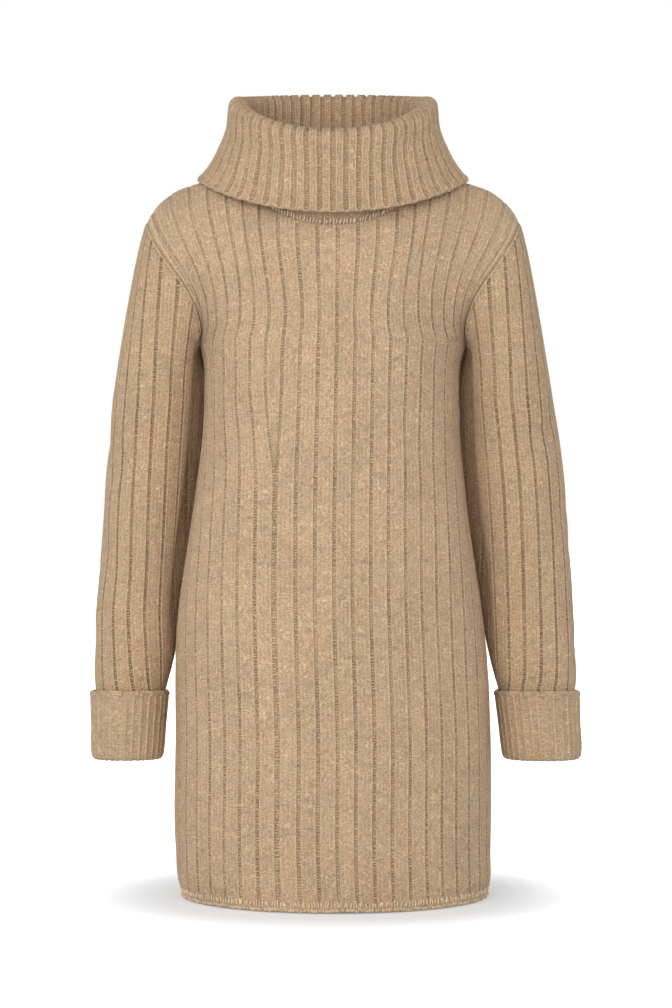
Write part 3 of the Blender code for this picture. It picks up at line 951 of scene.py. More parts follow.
@dataclass
class Sleeve(Piece):
    """Set-in sleeve: ribs leave the armhole and run down to the cuff.

    Turns go round the sleeve from the line beside the body by way of the front.
    """

    side: int  # +1 for the wearer's left
    rings: Table
    creases: tuple[Crease, ...]
    panels: tuple[Panel, Panel]  # front and back, laid already
    first_gutter: float = 0.014  # from the outer line to the next gutter in front of it
    last_rib: float = 10.3
    cap_rows: int = 44
    cap_crowding: float = 1.15  # by which the rows of the cap draw together at the seam
    row_step: float = 0.0045
    droop: float = 1.2
    spread: float = 0.4  # how far the ribs draw together towards the shoulder
    leave_reach: float = 0.15  # of the cap's curve along its facing at the seam
    arrive_reach: float = 0.4  # of the cap's curve along the first ring's own slope
    crease_side: Span = (-0.03, 0.01)  # where creases start, out from its middle
    bulge: Swell = Swell(0.005, -0.4, 0.4)  # behind the side, by turn, against the body
    bulge_height: float = -0.228
    bulge_tall: float = 0.02
    hollow: Swell = Swell(0.015, 0.3, 0.26)  # where the cloth falls away from the body
    slack: Swell = Swell(0.0035, 0.8, 0.36)  # where it is flattened beside that hollow
    hollow_top: Span = (0.115, 0.195)  # depths below the neck where both begin
    hollow_foot: Span = (0.4, 0.56)  # and end
    hollow_margin: float = 0.026  # from the seam, over which both begin
    chain_width: float = 0.0075  # of the sleeve's share of the chains
    under_start: Span = (0.0005, 0.004)  # where ribs rise beside its own seam
    under_groove: float = 0.7  # depth of that seam's groove, as a share

    def ring(self, turn: Array, height: Array | float) -> Array:
        """Point on the sleeve, on an oval at each height.

        Args:
            turn: Turns of the points.
            height: Their heights.

        Returns:
            The points.
        """
        centre, wide, forward, deep = (self.rings.read(column, height) for column in
                                       ("centre", "half_width", "forward", "half_depth"))
        out = self.side * (centre - wide * np.cos(turn))
        return np.stack([out, -forward - deep * np.sin(turn), height + 0 * turn], -1)

    def lay(self) -> None:
        """Lay the mesh of the sleeve from the armhole down to the wrist."""
        shift = self.first_gutter / SLEEVE_RIB.pitch
        ribs = SLEEVE_RIB.across(self.last_rib, shift)
        base, turn, counted, seam_facing = self.grid(ribs)
        rib = np.sign(ribs) * counted - shift
        middle = base.mean(axis=1, keepdims=True)
        facing = normals(base, closed=True)
        facing *= np.sign((facing * (base - middle)).sum(-1, keepdims=True))
        from_seam = run_along(base)
        facing = turn_towards(facing, seam_facing[None, :-1], from_seam)
        from_under = (counted.max(axis=1, keepdims=True) - counted)[:, :-1] * SLEEVE_RIB.pitch
        height = base[..., 2]
        fold, _ = fold_in(self.creases, base[..., 1], height)
        fold = fold * ramp(self.side * (base[..., 0] - middle[..., 0]), *self.crease_side)
        behind = (turn[:, :-1] + pi) % (2 * pi) - pi
        fold += self.bulge.at(behind) * hump(height, self.bulge_height, self.bulge_tall)
        beside_body = ramp(-height, *self.hollow_top) * (1 - ramp(-height, *self.hollow_foot))
        sunk = (self.hollow.at(behind) + self.slack.at(behind)) * beside_body
        fold = fold * ramp(from_seam, 0.0, CREASE_MARGIN)
        fold = fold - sunk * ramp(from_seam, 0.0, self.hollow_margin)
        ribbing = ramp(from_seam, *RIB_START) * ramp(from_under, *self.under_start)
        relief = SLEEVE_RIB.relief(rib[:, :-1]) * ribbing
        outer = relief + SEAM_GROOVE.at(from_seam) + self.under_groove * SEAM_GROOVE.at(from_under)
        inner = relief * ramp(from_seam, *INSIDE_START) - WALL
        course = (from_seam[-1] - from_seam) / COURSE
        course = np.concatenate([course, course[:, :1]], axis=1)
        self.cloth = Cloth(base + facing * fold[..., None], facing, rib, course, outer, inner,
                           ribbing, closed=True, chain=np.minimum(from_seam, self.chain_width))

    def grid(self, ribs: Array) -> tuple[Array, Array, Array, Array]:
        """Place the points of the cap, then those of level rings down to the wrist.

        Args:
            ribs: Columns, in ribs from the outer line.

        Returns:
            The points, the turns and the rib counts of all columns, the last of which is the
            first again and has no points, and the facing of the seam's row.
        """
        top, low = self.rings.places[-1], self.rings.places[0]
        height = top - edge_rows(top - low, self.row_step, False, False)
        turn, counted = self.turns(ribs, height)
        rings = self.ring(turn, height[:, None] + 0 * turn)
        start = turn[0] + self.spread * np.sin(turn[0])
        parts = np.linspace(0, 1, self.cap_rows + 1)[:-1] ** self.cap_crowding
        cap_turn = start + (turn[0] - start) * parts[:, None]
        cap, seam_facing = self.cap(cap_turn, parts)
        counted = np.concatenate([np.repeat(counted[:1], len(cap), 0), counted])
        base = np.concatenate([cap, rings])[:, :-1]
        return base, np.concatenate([cap_turn, turn]), counted, seam_facing

    def turns(self, ribs: Array, height: Array) -> tuple[Array, Array]:
        """Space the columns evenly along every level ring.

        Args:
            ribs: Columns, in ribs from the outer line.
            height: Heights of the rings.

        Returns:
            Turn of every column on every ring, and its rib count.
        """
        fine = np.linspace(0, pi, 241)
        wide = self.rings.read("half_width", height)[:, None]
        deep = self.rings.read("half_depth", height)[:, None]
        oval = np.stack([wide * np.cos(fine), deep * np.sin(fine)], -1)
        arc = run_along(oval.transpose(1, 0, 2)).T
        counted = squeeze(np.abs(ribs)[None], self.last_rib, arc[:, -1:] / SLEEVE_RIB.pitch)
        away = read_rows(counted * SLEEVE_RIB.pitch, arc, np.repeat(fine[None], len(arc), 0))
        return pi - np.sign(ribs) * away, counted

    def cap(self, turn: Array, parts: Array) -> tuple[Array, Array]:
        """Curve the cap from the armhole, half on the front and half on the back, to the first ring.

        Args:
            turn: Turn of every column on every row of the cap.
            parts: How far down the cap each row is, from 0 at the seam.

        Returns:
            Points of the cap, on cubic Bezier curves, and the facing of the seam's row.
        """
        (up_turn, up, up_facing), (down_turn, down, down_facing) = (
            panel.armhole(self.side) for panel in self.panels)
        known = np.concatenate([up_turn, 2 * pi - down_turn[-2:0:-1]])
        seam = np.concatenate([up, down[-2:0:-1]])
        seam_facing = np.concatenate([up_facing, down_facing[-2:0:-1]])
        seam[[0, len(up) - 1], 1] = 0.0
        round_turn = np.linspace(0, 2 * pi, 361)[:-1]
        seam, facing = (read_loop(round_turn, known, values) for values in (seam, seam_facing))
        step = unit(np.cross(np.roll(seam, -1, axis=0) - np.roll(seam, 1, axis=0), facing))
        step *= np.sign(step[:, :1] * self.side)
        start = seam + step * SEAM_GAP
        first, second = (self.ring(round_turn, ring) for ring in self.rings.places[-1:-3:-1])
        low = (SHOULDER_POINT - seam[:, 2:]) / ARMHOLE_RISE
        leave = unit(step - np.array((0, 0, self.droop)) * (1 + 2 * low ** 3))
        arrive = unit(unit(second - first) + unit(first - start))
        length = np.linalg.norm(first - start, axis=-1, keepdims=True)
        controls = (start, start + self.leave_reach * length * leave,
                    first - self.arrive_reach * length * arrive, first)
        part = parts[:, None, None]
        weights = ((1 - part) ** 3, 3 * part * (1 - part) ** 2, 3 * part ** 2 * (1 - part), part ** 3)
        cap = sum(weight * read_loop(turn, round_turn, control)
                  for weight, control in zip(weights, controls))
        return cap, unit(read_loop(turn[0], round_turn, facing))


class CuffSize(NamedTuple):
    """Outside of a cuff at its top edge and at its fold."""

    top_centre: float
    top_half: float
    bottom_centre: float
    bottom_half: float


LEFT_CUFF = CuffSize(0.227, 0.0472, 0.2322, 0.0433)
RIGHT_CUFF = CuffSize(0.2264, 0.0436, 0.2288, 0.0393)


@dataclass
class Cuff(Piece):
    """Turned-back cuff: down inside from the sleeve's end, round the fold and up outside."""

    side: int
    size: CuffSize
    ribs: int
    sleeve_end: Ring
    top: float = -0.5805
    bottom: float = -0.657
    forward: float = -0.009
    fold_radius: float = 0.0032
    extra_depth: float = 0.003
    tilt: float = 0.003  # by which the front of the top edge is higher
    row_step: float = 0.0022
    arch_top: float = 0.0036  # from the top edge down to the arches that join the ribs
    arch: Swell = Swell(0.001, 0.0046, 0.001)  # by distance from a ladder's middle
    ladder_depth: float = 0.0003
    ladder_side: Span = (0.003, 0.0042)
    level_start: Span = (0.0, 0.006)  # over the fold, where both begin
    lip: Swell = Swell(0.0013, 0.0026, 0.0024)
    lip_groove: Swell = Swell(-0.0003, 0.0066, 0.0012)
    thinner: float = 0.0004  # by which the smooth stripes lie under the wall's outside
    ribbing_start: Span = (0.0018, 0.0034)

    def ring(self, turn: Array, centre: float, half: float, height: float) -> Array:
        """Level ring of the cuff, slightly deeper than it is wide."""
        deep = -self.forward - (half + self.extra_depth) * np.sin(turn)
        return np.stack([self.side * (centre - half * np.cos(turn)), deep,
                         np.full_like(turn, height)], -1)

    def levels(self, turn: Array) -> Array:
        """Rings that the cuff's wall passes through, from the sleeve's end to the top edge.

        Args:
            turn: Turn of every column.

        Returns:
            The rings, half a wall in from the outside.
        """
        end, size, radius, half_wall = self.sleeve_end, self.size, self.fold_radius, WALL / 2
        start = np.stack([self.side * (end.centre - (end.half_width - half_wall) * np.cos(turn)),
                          -end.forward - (end.half_depth - half_wall) * np.sin(turn),
                          np.full_like(turn, end.height - SEAM_GAP)], -1)
        fold = [self.ring(turn, size.bottom_centre,
                          size.bottom_half - half_wall - radius - radius * math.cos(angle),
                          self.bottom + half_wall + radius - radius * math.sin(angle))
                for angle in np.linspace(0, pi, 9)]
        edge = self.ring(turn, size.top_centre, size.top_half - half_wall, self.top)
        levels = np.array([start, (start + fold[0]) / 2, *fold, (fold[-1] + edge) / 2, edge])
        share = np.linspace(0, 1, len(levels))[:, None]
        levels[..., 2] += self.tilt * share * np.clip(np.sin(turn), 0, 1)
        return levels

    def lay(self) -> None:
        """Lay the cuff's cloth, with its smooth and its laddered stripes and their arches."""
        columns = CUFF_RIB.round_tube(self.ribs)
        levels = self.levels(2 * pi * columns / self.ribs)
        places = run_along(levels).mean(axis=1)
        rows = edge_rows(places[-1], self.row_step, False, True)
        base = cubic(places, levels, rows)
        to_edge = (rows[-1] - rows)[:, None]
        off = CUFF_RIB.off(columns)[None] * CUFF_RIB.pitch
        above = np.clip(self.arch_top + self.arch.middle - to_edge, 0, None)
        reach = np.hypot(off, above)
        stripes = self.arch.at(reach) - self.ladder_depth * (1 - ramp(reach, *self.ladder_side))
        stripes = stripes * ramp(base[..., 2] - self.bottom, *self.level_start)
        lip, pull = self.lip.at(to_edge) + self.lip_groove.at(to_edge), rounded(to_edge)
        outer = WALL / 2 + stripes + lip - pull - self.thinner
        inner = -WALL / 2 + pull + np.zeros_like(outer)
        course = np.repeat((rows / COURSE)[:, None], len(columns) + 1, axis=1)
        rib = CUFF_RIB.chart(np.append(columns, self.ribs)[None] + 0 * course, above + 0 * course)
        ribbing = ramp(to_edge, *self.ribbing_start) + np.zeros_like(outer)
        self.cloth = Cloth(base, tube_facing(base), rib, course, outer, inner, ribbing, closed=True)


@dataclass
class Collar(Piece):
    """Cowl collar: a stand up from the neck seam, a fold, and a fall that rests on the shoulders."""

    creases: tuple[Crease, ...]
    panels: tuple[Panel, Panel]  # front and back, laid already
    ribs: int = 50
    fold_radius: float = 0.009
    dip: float = 1.2  # how slowly the levels drop from the sides to the front
    more_dip: float = 0.09  # added to it with each level of the fall
    spread: float = 0.128  # how far the ribs of the free edge draw together in front
    row_step: float = 0.004
    edge_step: float = 0.0012  # between the rows of the last stretch before the free edge
    edge_stretch: float = 0.01
    loop_height: float = 0.0032  # from the free edge up to the ends of the gutters
    lip: Swell = Swell(0.0021, 0.003, 0.003)  # by which the free edge is thicker
    lip_outside: float = 0.6  # share of the lip that stands out of the outside
    scallop: Swell = Swell(0.0006, 0.0, 0.0035)  # by which the free edge waves down and up
    inner_relief: float = 0.6  # share of the relief that shows inside
    foot_start: Span = (0.001, 0.006)  # from the neck seam, where ribs rise
    stand: tuple[Level, ...] = (
        Level(1, 0.0975, 0.089, 0.064, -0.043, 0.022, 0.02),
        Level(2, 0.0972, 0.0895, 0.07, -0.005, 0.046, 0.056),
    )
    fold: Level = Level(3, 0.105, 0.0972, 0.0805, 0.0168, 0.0688, 0.085)
    fall: tuple[Level, ...] = (
        Level(4, 0.117, 0.1075, 0.0915, -0.0055, 0.043, 0.061),
        Level(5, 0.1252, 0.107, 0.094, -0.0272, 0.022, 0.04),
        Level(6, 0.1352, 0.105, 0.0975, -0.0468, 0.003, 0.018),
        Level(7, 0.1492, 0.101, 0.101, -0.0624, -0.0148, -0.001),
    )

    def ring(self, turn: Array, level: Level) -> Array:
        """One level of the collar: an oval that drops towards the front.

        Args:
            turn: Turns of the points from the front.
            level: Reach and heights of the level.

        Returns:
            The points.
        """
        ahead = np.cos(turn)
        reach = np.where(ahead > 0, level.front, level.back)
        end = np.where(ahead > 0, level.front_height, level.back_height)
        dip = self.dip + self.more_dip * max(level.place - self.fall[0].place, 0)
        drop = (end - level.side_height) * np.abs(ahead) ** dip
        return np.stack([level.side * np.sin(turn), -reach * ahead, level.side_height + drop], -1)

    def neckline(self, turn: Array) -> tuple[Array, Array]:
        """Follow the neck seam in the middle of the wall, a gap above the panels.

        Args:
            turn: Turns of the points from the front.

        Returns:
            The points and the facing of the wall there.
        """
        loops = []
        for panel, start, way in zip(self.panels, (0.0, pi), (1, -1)):
            part, edge, facing = panel.neck()
            loops.append(((start + way * part) % (2 * pi), edge, facing))
        known, edge, facing = (np.concatenate(parts) for parts in zip(*loops))
        order = np.argsort(known)
        edge, facing = (read_loop(turn, known[order], values[order]) for values in (edge, facing))
        facing = unit(facing)
        step = unit(np.cross(np.roll(edge, -1, axis=0) - np.roll(edge, 1, axis=0), facing))
        step *= np.sign(step[:, 2:])
        return edge - facing * WALL / 2 + step * SEAM_GAP, -facing

    def levels(self, turn: Array, start: Array) -> Array:
        """Rings that the collar's wall passes through, from the neck seam to the free edge.

        Args:
            turn: Turn of every column from the front, in even steps.
            start: Points of the neck seam.

        Returns:
            The rings.
        """
        rings = [start] + [self.ring(turn, level) for level in self.stand]
        for angle in np.linspace(0, pi, 9):
            out = -self.fold_radius * math.cos(angle)
            up = self.fold_radius * math.sin(angle)
            number, side, ahead, behind, *heights = self.fold
            rings.append(self.ring(turn, Level(number, side + out, ahead + out, behind + out,
                                               *(high + up for high in heights))))
        drawn = -self.spread * np.sin(2 * turn)
        rings += [self.ring(turn + drawn * step / len(self.fall), level)
                  for step, level in enumerate(self.fall, start=1)]
        return np.array(rings)

    def lay(self) -> None:
        """Lay the collar's cloth from the neck seam, with its ribs and its looped free edge."""
        columns = COLLAR_RIB.round_tube(self.ribs)
        turn = 2 * pi * columns / self.ribs
        start, start_facing = self.neckline(turn)
        levels = self.levels(turn, start)
        places = run_along(levels).mean(axis=1)
        rows = edge_rows(places[-1] - self.edge_stretch, self.row_step, False, False)
        fine = places[-1] - edge_rows(self.edge_stretch, self.edge_step, True, False)[::-1]
        rows = np.concatenate([rows[:-1], fine])
        base = cubic(places, levels, rows)
        along = run_along(base)
        facing = turn_towards(tube_facing(base), start_facing[None], along)
        to_edge = (rows[-1] - rows)[:, None]
        past = np.clip(self.loop_height + COLLAR_RIB.gutter * COLLAR_RIB.pitch - to_edge, 0, None)
        ribbing = ramp(along, *self.foot_start)
        relief = COLLAR_RIB.relief(columns[None], past) * ribbing
        fold, _ = fold_in(self.creases, base[..., 0], base[..., 2])
        fall_start, fall_end = places[len(self.stand) + 4], places[-len(self.fall)]
        outer_layer = ramp(rows, fall_start, fall_end)[:, None]
        base = base + facing * (fold * outer_layer * (base[..., 1] < 0))[..., None]
        wave = np.cos(2 * pi * columns[None])
        base = base + unit(base[-1] - base[-6])[None] * (wave * self.scallop.at(to_edge))[..., None]
        pull, lip = rounded(to_edge), (0.75 - 0.25 * wave) * self.lip.at(to_edge)
        outer = WALL / 2 + relief - pull + self.lip_outside * lip
        inner = -WALL / 2 + self.inner_relief * relief + pull - (1 - self.lip_outside) * lip
        course = np.repeat((rows / COURSE)[:, None], len(columns) + 1, axis=1)
        rib = COLLAR_RIB.chart(np.append(columns, self.ribs)[None] + 0 * course, past)
        self.cloth = Cloth(base, facing, rib, course, outer, inner, ribbing, closed=True)


def grid_spots(grid: Array, rows: Array, columns: Array) -> Array:
    """Read points between the points of a grid, in even proportion to its four nearest ones.

    Args:
        grid: Rows and columns of points.
        rows: Fractional rows to read at.
        columns: Fractional columns to read at.

    Returns:
        A point for every row and column that is read.
    """
    low = np.clip(np.floor(rows).astype(int), 0, grid.shape[0] - 2)
    left = np.clip(np.floor(columns).astype(int), 0, grid.shape[1] - 2)
    up, across = (rows - low)[..., None], (columns - left)[..., None]
    below = grid[low, left] * (1 - across) + grid[low, left + 1] * across
    above = grid[low + 1, left] * (1 - across) + grid[low + 1, left + 1] * across
    return below * (1 - up) + above * up


def yarn(name: str, paths: Array, radius: float) -> Thing:
    """Make many short lengths of yarn as one piece.

    Args:
        name: Name of the new object.
        paths: Points along each length, counted along the first two axes.
        radius: Radius of the yarn in the middle of a length; the ends are drawn in.

    Returns:
        The object, in the scene.
    """
    count, steps = paths.shape[:2]
    ahead = unit(np.gradient(paths, axis=1))
    first = unit(np.cross(ahead, paths - paths.mean(axis=(0, 1))))
    second = np.cross(first, ahead)
    thick = radius * np.sqrt(1 - (0.93 * np.linspace(-1, 1, steps)) ** 2)
    angle = 2 * pi * np.arange(YARN_SIDES) / YARN_SIDES
    ring = (first[:, :, None] * np.cos(angle)[:, None] + second[:, :, None] * np.sin(angle)[:, None])
    points = (paths[:, :, None] + ring * thick[:, None, None]).reshape(-1, 3)
    index = np.arange(count * steps * YARN_SIDES).reshape(count, steps, YARN_SIDES)
    beside = np.roll(index, -1, axis=2)
    wall = np.stack([index[:, :-1], beside[:, :-1], beside[:, 1:], index[:, 1:]], -1).reshape(-1, 4)
    faces = [wall, index[:, 0, ::-1], index[:, -1]]
    if signed_volume(points, faces) < 0:
        faces = [part[:, ::-1] for part in faces]
    return place(name, mesh_of(name, points, faces))


class Stitch(NamedTuple):
    """Short length of yarn that is repeated along an edge."""

    step: float  # along the edge, from one to the next
    radius: float
    lift: float  # of the yarn's middle over the cloth
    start: float  # from the edge to the stitch
    reach: float  # mean height of the stitch, or of its middle where it lies along the edge
    wobble: float  # how far that differs from stitch to stitch


HEM_LOOP = Stitch(0.0034, 0.00085, 0.0007, 0.005, 0.007, 0.001)
HEM_BEAD = Stitch(0.004, 0.0022, -0.0006, 0.0, 0.0024, 0.0005)
NECK_STITCH = Stitch(0.0036, 0.0008, 0.001, 0.0014, 0.0066, 0.0012)


@dataclass
class Edging:
    """Yarn worked along the edges of a panel: hem loops, a beaded edge and the neck seam."""

    panel: Panel
    seed: int
    neck_reach: float = 0.09  # out from the middle to the last stitches at the neck
    neck_lean: Span = (0.0015, 0.0008)  # along the seam, and how it differs
    neck_arch: float = 0.0006  # of the stitches' middles off their ends
    loop_lean: float = 0.5  # of the hem's loops, in columns of the mesh
    unevenness: float = 0.15  # of the steps between stitches
    points: int = 5  # along each stitch

    def build(self) -> tuple[Thing, ...]:
        """Make the hem loops, the hem beads and the neck seam of the panel."""
        return self.hem_loops(), self.hem_beads(), self.neck_seam()

    def even_columns(self, row: int, step: float, reach: float) -> Array:
        """Space stitches along a row, at uneven steps.

        Args:
            row: Row of the panel's mesh.
            step: Mean step between stitches.
            reach: How far out from the middle the stitches go.

        Returns:
            Fractional columns, one for each stitch.
        """
        line = self.panel.cloth.base[row]
        inside = np.flatnonzero(np.abs(line[:, 0]) < reach)
        run = run_along(line)
        chance = np.random.default_rng(self.seed)
        count = int((run[inside[-1]] - run[inside[0]]) / step)
        uneven = self.unevenness * chance.standard_normal(count)
        spots = run[inside[0]] + step * (np.arange(count) + 0.5 + uneven)
        return np.interp(spots, run, np.arange(len(run)))

    def rows_at(self, distance: Array, columns: Array, from_top: bool) -> Array:
        """Find rows at a distance from the hem or from the top edge.

        Args:
            distance: Distances, a row of them for each column.
            columns: Fractional columns of the panel's mesh.
            from_top: Whether the distance is from the top edge.

        Returns:
            Fractional rows, one for each distance.
        """
        base = self.panel.cloth.base
        near = np.clip(np.round(columns).astype(int), 0, base.shape[1] - 1)
        run = run_along(base)[:, near].T
        wanted = run[:, -1:] - distance if from_top else distance + 0 * run[:, :1]
        return np.array([np.interp(*row, np.arange(len(base))) for row in zip(wanted, run)])

    @staticmethod
    def heights(stitch: Stitch, count: int, chance: np.random.Generator) -> Array:
        """Draw the reach of each stitch by chance."""
        return stitch.reach + stitch.wobble * chance.standard_normal((count, 1)).clip(-1.5, 1.5)

    def hem_loops(self) -> Thing:
        """Make short upright loops just above the hem.

        Returns:
            The loops.
        """
        columns = self.even_columns(2, HEM_LOOP.step, 1.0)
        chance = np.random.default_rng(self.seed + 1)
        part = np.linspace(0, 1, self.points)
        tall = self.heights(HEM_LOOP, len(columns), chance)
        rows = self.rows_at(HEM_LOOP.start + tall * part, columns, False)
        lean = self.loop_lean * chance.standard_normal((len(columns), 1)) + 0 * rows
        paths = grid_spots(self.panel.cloth.outside(HEM_LOOP.lift), rows,
                           columns[:, None] + lean * part)
        return yarn(self.panel.name + "_hem_loops", paths, HEM_LOOP.radius)

    def hem_beads(self) -> Thing:
        """Make plump stitches, laid end to end along the lower edge.

        Returns:
            The stitches.
        """
        columns = self.even_columns(2, HEM_BEAD.step, 1.0)
        half = np.diff(columns, append=columns[-1] + 3)[:, None] / 2
        along = columns[:, None] + half * np.linspace(-1, 1, self.points)
        high = self.heights(HEM_BEAD, len(columns), np.random.default_rng(self.seed + 2))
        rows = self.rows_at(high + 0 * along, columns, False)
        paths = grid_spots(self.panel.cloth.outside(HEM_BEAD.lift), rows, along)
        return yarn(self.panel.name + "_hem_beads", paths, HEM_BEAD.radius)

    def neck_seam(self) -> Thing:
        """Make slanted stitches from the top of the panel over the seam to the collar's stand.

        Returns:
            The stitches.
        """
        columns = self.even_columns(-1, NECK_STITCH.step, self.neck_reach)
        chance = np.random.default_rng(self.seed + 3)
        part = np.linspace(0, 1, self.points)
        rows = self.rows_at(NECK_STITCH.start + 0 * columns[:, None], columns, True)
        foot = grid_spots(self.panel.cloth.outside(NECK_STITCH.lift), rows, columns[:, None])
        tall = self.heights(NECK_STITCH, len(columns), chance)
        mean, wobble = self.neck_lean
        lean = mean + wobble * chance.standard_normal((len(columns), 1))
        arch = self.panel.form.way * self.neck_arch * np.sin(part * pi) + 0 * lean
        paths = foot + np.stack([lean * part, arch, tall * part], -1)
        return yarn(self.panel.name + "_neck_seam", paths, NECK_STITCH.radius)


FRONT_CREASES = (
    Crease(-0.06, -0.345, 5.0, 0.06, 0.01, -0.002),
    Crease(-0.09, -0.29, 24.0, 0.05, 0.016, -0.003),
    Crease(0.088, -0.3, -26.0, 0.055, 0.017, -0.0028),
    Crease(-0.03, -0.56, 10.0, 0.12, 0.03, -0.0018),
    Crease(0.062, -0.62, -8.0, 0.14, 0.028, 0.002),
    Crease(-0.112, -0.64, 4.0, 0.11, 0.022, -0.0022),
    Crease(0.12, -0.52, -14.0, 0.09, 0.02, -0.0022),
)
BACK_CREASES = (
    Crease(0.052, -0.34, -9.0, 0.07, 0.016, -0.0026, 0.35),
    Crease(-0.085, -0.315, 22.0, 0.06, 0.018, -0.003),
    Crease(0.092, -0.25, -28.0, 0.05, 0.015, -0.0028),
    Crease(-0.02, -0.48, 12.0, 0.1, 0.026, 0.0022),
    Crease(0.07, -0.64, -6.0, 0.12, 0.03, -0.0024),
    Crease(-0.105, -0.6, 8.0, 0.12, 0.022, 0.002),
)
LEFT_CREASES = (
    Crease(-0.03, -0.3, 34.0, 0.04, 0.013, -0.003),
    Crease(0.01, -0.4, -30.0, 0.045, 0.014, -0.0026),
    Crease(0.04, -0.35, 28.0, 0.04, 0.013, -0.0026),
    Crease(0.0, -0.545, 40.0, 0.03, 0.01, -0.0022),
)
RIGHT_CREASES = (
    Crease(-0.02, -0.33, -32.0, 0.042, 0.013, -0.0028),
    Crease(0.025, -0.29, 30.0, 0.04, 0.014, -0.0028),
    Crease(-0.005, -0.43, 26.0, 0.045, 0.014, -0.0024),
    Crease(0.03, -0.54, -38.0, 0.03, 0.01, -0.0024),
)
COLLAR_CREASES = (
    Crease(-0.06, 0.01, -40.0, 0.03, 0.016, -0.0022),
    Crease(0.07, -0.005, 36.0, 0.032, 0.015, -0.002),
)


Socket = bpy.types.NodeSocket
Tree = bpy.types.NodeTree
Colour = tuple[float, ...]


class Signal:
    """Number or colour that flows through a node tree; arithmetic on it adds nodes."""

    def __init__(self, wires: Wiring, socket: Socket) -> None:
        """Keep the output that it comes from and the wiring of its tree."""
        self.wires, self.socket = wires, socket

    def __add__(self, other: Value) -> Signal:
        """Sum."""
        return self.wires.math("ADD", self, other)

    def __sub__(self, other: Value) -> Signal:
        """Difference."""
        return self.wires.math("SUBTRACT", self, other)

    def __rsub__(self, other: Value) -> Signal:
        """Difference from a plain number."""
        return self.wires.math("SUBTRACT", other, self)

    def __mul__(self, other: Value) -> Signal:
        """Product."""
        return self.wires.math("MULTIPLY", self, other)

    def __truediv__(self, other: Value) -> Signal:
        """Quotient."""
        return self.wires.math("DIVIDE", self, other)

    def __abs__(self) -> Signal:
        """Size without its sign."""
        return self.wires.math("ABSOLUTE", self)

    def nearest(self) -> Signal:
        """Nearest whole number."""
        return self.wires.math("ROUND", self)

    def wave(self) -> Signal:
        """Sine between 0 and 1 of this phase, which counts whole waves."""
        return self.wires.math("SINE", self * (2 * pi)) * 0.5 + 0.5


Value = Signal | float | Colour


class Wiring:
    """Short ways to put nodes into a tree and join them up."""

    def __init__(self, tree: Tree) -> None:
        """Keep the tree that the nodes go into."""
        self.tree = tree

    def node(self, kind: str, output: str | int = 0, settings: dict | None = None,
             **inputs: Value) -> Signal:
        """Add a node.

        Args:
            kind: Type of the node.
            output: Name or place of the output to hand back.
            settings: Properties of the node itself.
            inputs: Signals or values for its inputs, keyed by name or, as i0, i1, by place.

        Returns:
            The output.
        """
        node = self.tree.nodes.new(kind)
        for word, value in (settings or {}).items():
            setattr(node, word, value)
        for word, value in inputs.items():
            key = int(word[1:]) if word[0] == "i" and word[1:].isdigit() else word
            self.join(value, node.inputs[key])
        return Signal(self, node.outputs[output])

    def group(self, tree: Tree, given: dict[str, Value]) -> dict[str, Signal]:
        """Put a group into the tree with these inputs, and hand back its outputs, all by name."""
        node = self.node("ShaderNodeGroup", settings={"node_tree": tree}, **given).socket.node
        return {socket.name: Signal(self, socket) for socket in node.outputs}

    def join(self, value: Value, socket: Socket) -> None:
        """Link a signal to an input, or set the input to a value."""
        if isinstance(value, Signal):
            self.tree.links.new(value.socket, socket)
        else:
            socket.default_value = value

    def math(self, how: str, first: Value, second: Value = 0.0) -> Signal:
        """Work out one number from one or two."""
        return self.node("ShaderNodeMath", settings={"operation": how}, i0=first, i1=second)

    def ramp(self, value: Value, low: Value, high: Value, start: Value = 0.0,
             end: Value = 1.0) -> Signal:
        """Go smoothly from start to end while the value goes from low to high."""
        return self.node("ShaderNodeMapRange", settings={"interpolation_type": "SMOOTHSTEP"},
                         i0=value, i1=low, i2=high, i3=start, i4=end)

    def noise(self, spot: Value, scale: float, detail: float = 2.0) -> Signal:
        """Noise from 0 to 1."""
        return self.node("ShaderNodeTexNoise", Vector=spot, Scale=scale, Detail=detail)

    def spot(self, across: Value, up: Value) -> Signal:
        """Point in a plane, for a pattern to be read at."""
        return self.node("ShaderNodeCombineXYZ", X=across, Y=up)

    def blend(self, share: Value, first: Value, second: Value, how: str = "MIX") -> Signal:
        """Mix two colours."""
        return self.node("ShaderNodeMix", 2, {"data_type": "RGBA", "blend_type": how},
                         i0=share, i6=first, i7=second)

    def shade(self, colour: Value, light: Signal) -> Signal:
        """Multiply a colour by a number."""
        grey = self.node("ShaderNodeCombineColor", Red=light, Green=light, Blue=light)
        return self.blend(1.0, colour, grey, "MULTIPLY")


def new_group(name: str, inputs: dict[str, str], outputs: dict[str, str]) -> tuple[
        Wiring, dict[str, Signal], dict[str, Socket]]:
    """Start a shader node group.

    Args:
        name: Name of the group.
        inputs: Kind of every input socket, by name.
        outputs: Kind of every output socket, by name.

    Returns:
        Its wiring, the signals that bring its inputs and the sockets that take its outputs.
    """
    tree = bpy.data.node_groups.new(name, "ShaderNodeTree")
    for side, sockets in (("INPUT", inputs), ("OUTPUT", outputs)):
        for word, kind in sockets.items():
            tree.interface.new_socket(word, in_out=side, socket_type="NodeSocket" + kind)
    wires = Wiring(tree)
    entry, leaving = tree.nodes.new("NodeGroupInput"), tree.nodes.new("NodeGroupOutput")
    return (wires, {word: Signal(wires, entry.outputs[word]) for word in inputs},
            {word: leaving.inputs[word] for word in outputs})


class Line(NamedTuple):
    """Row of chained stitches, or of the dents between two, that follows the armhole."""

    place: float  # from the armhole
    half_width: float
    strength: float


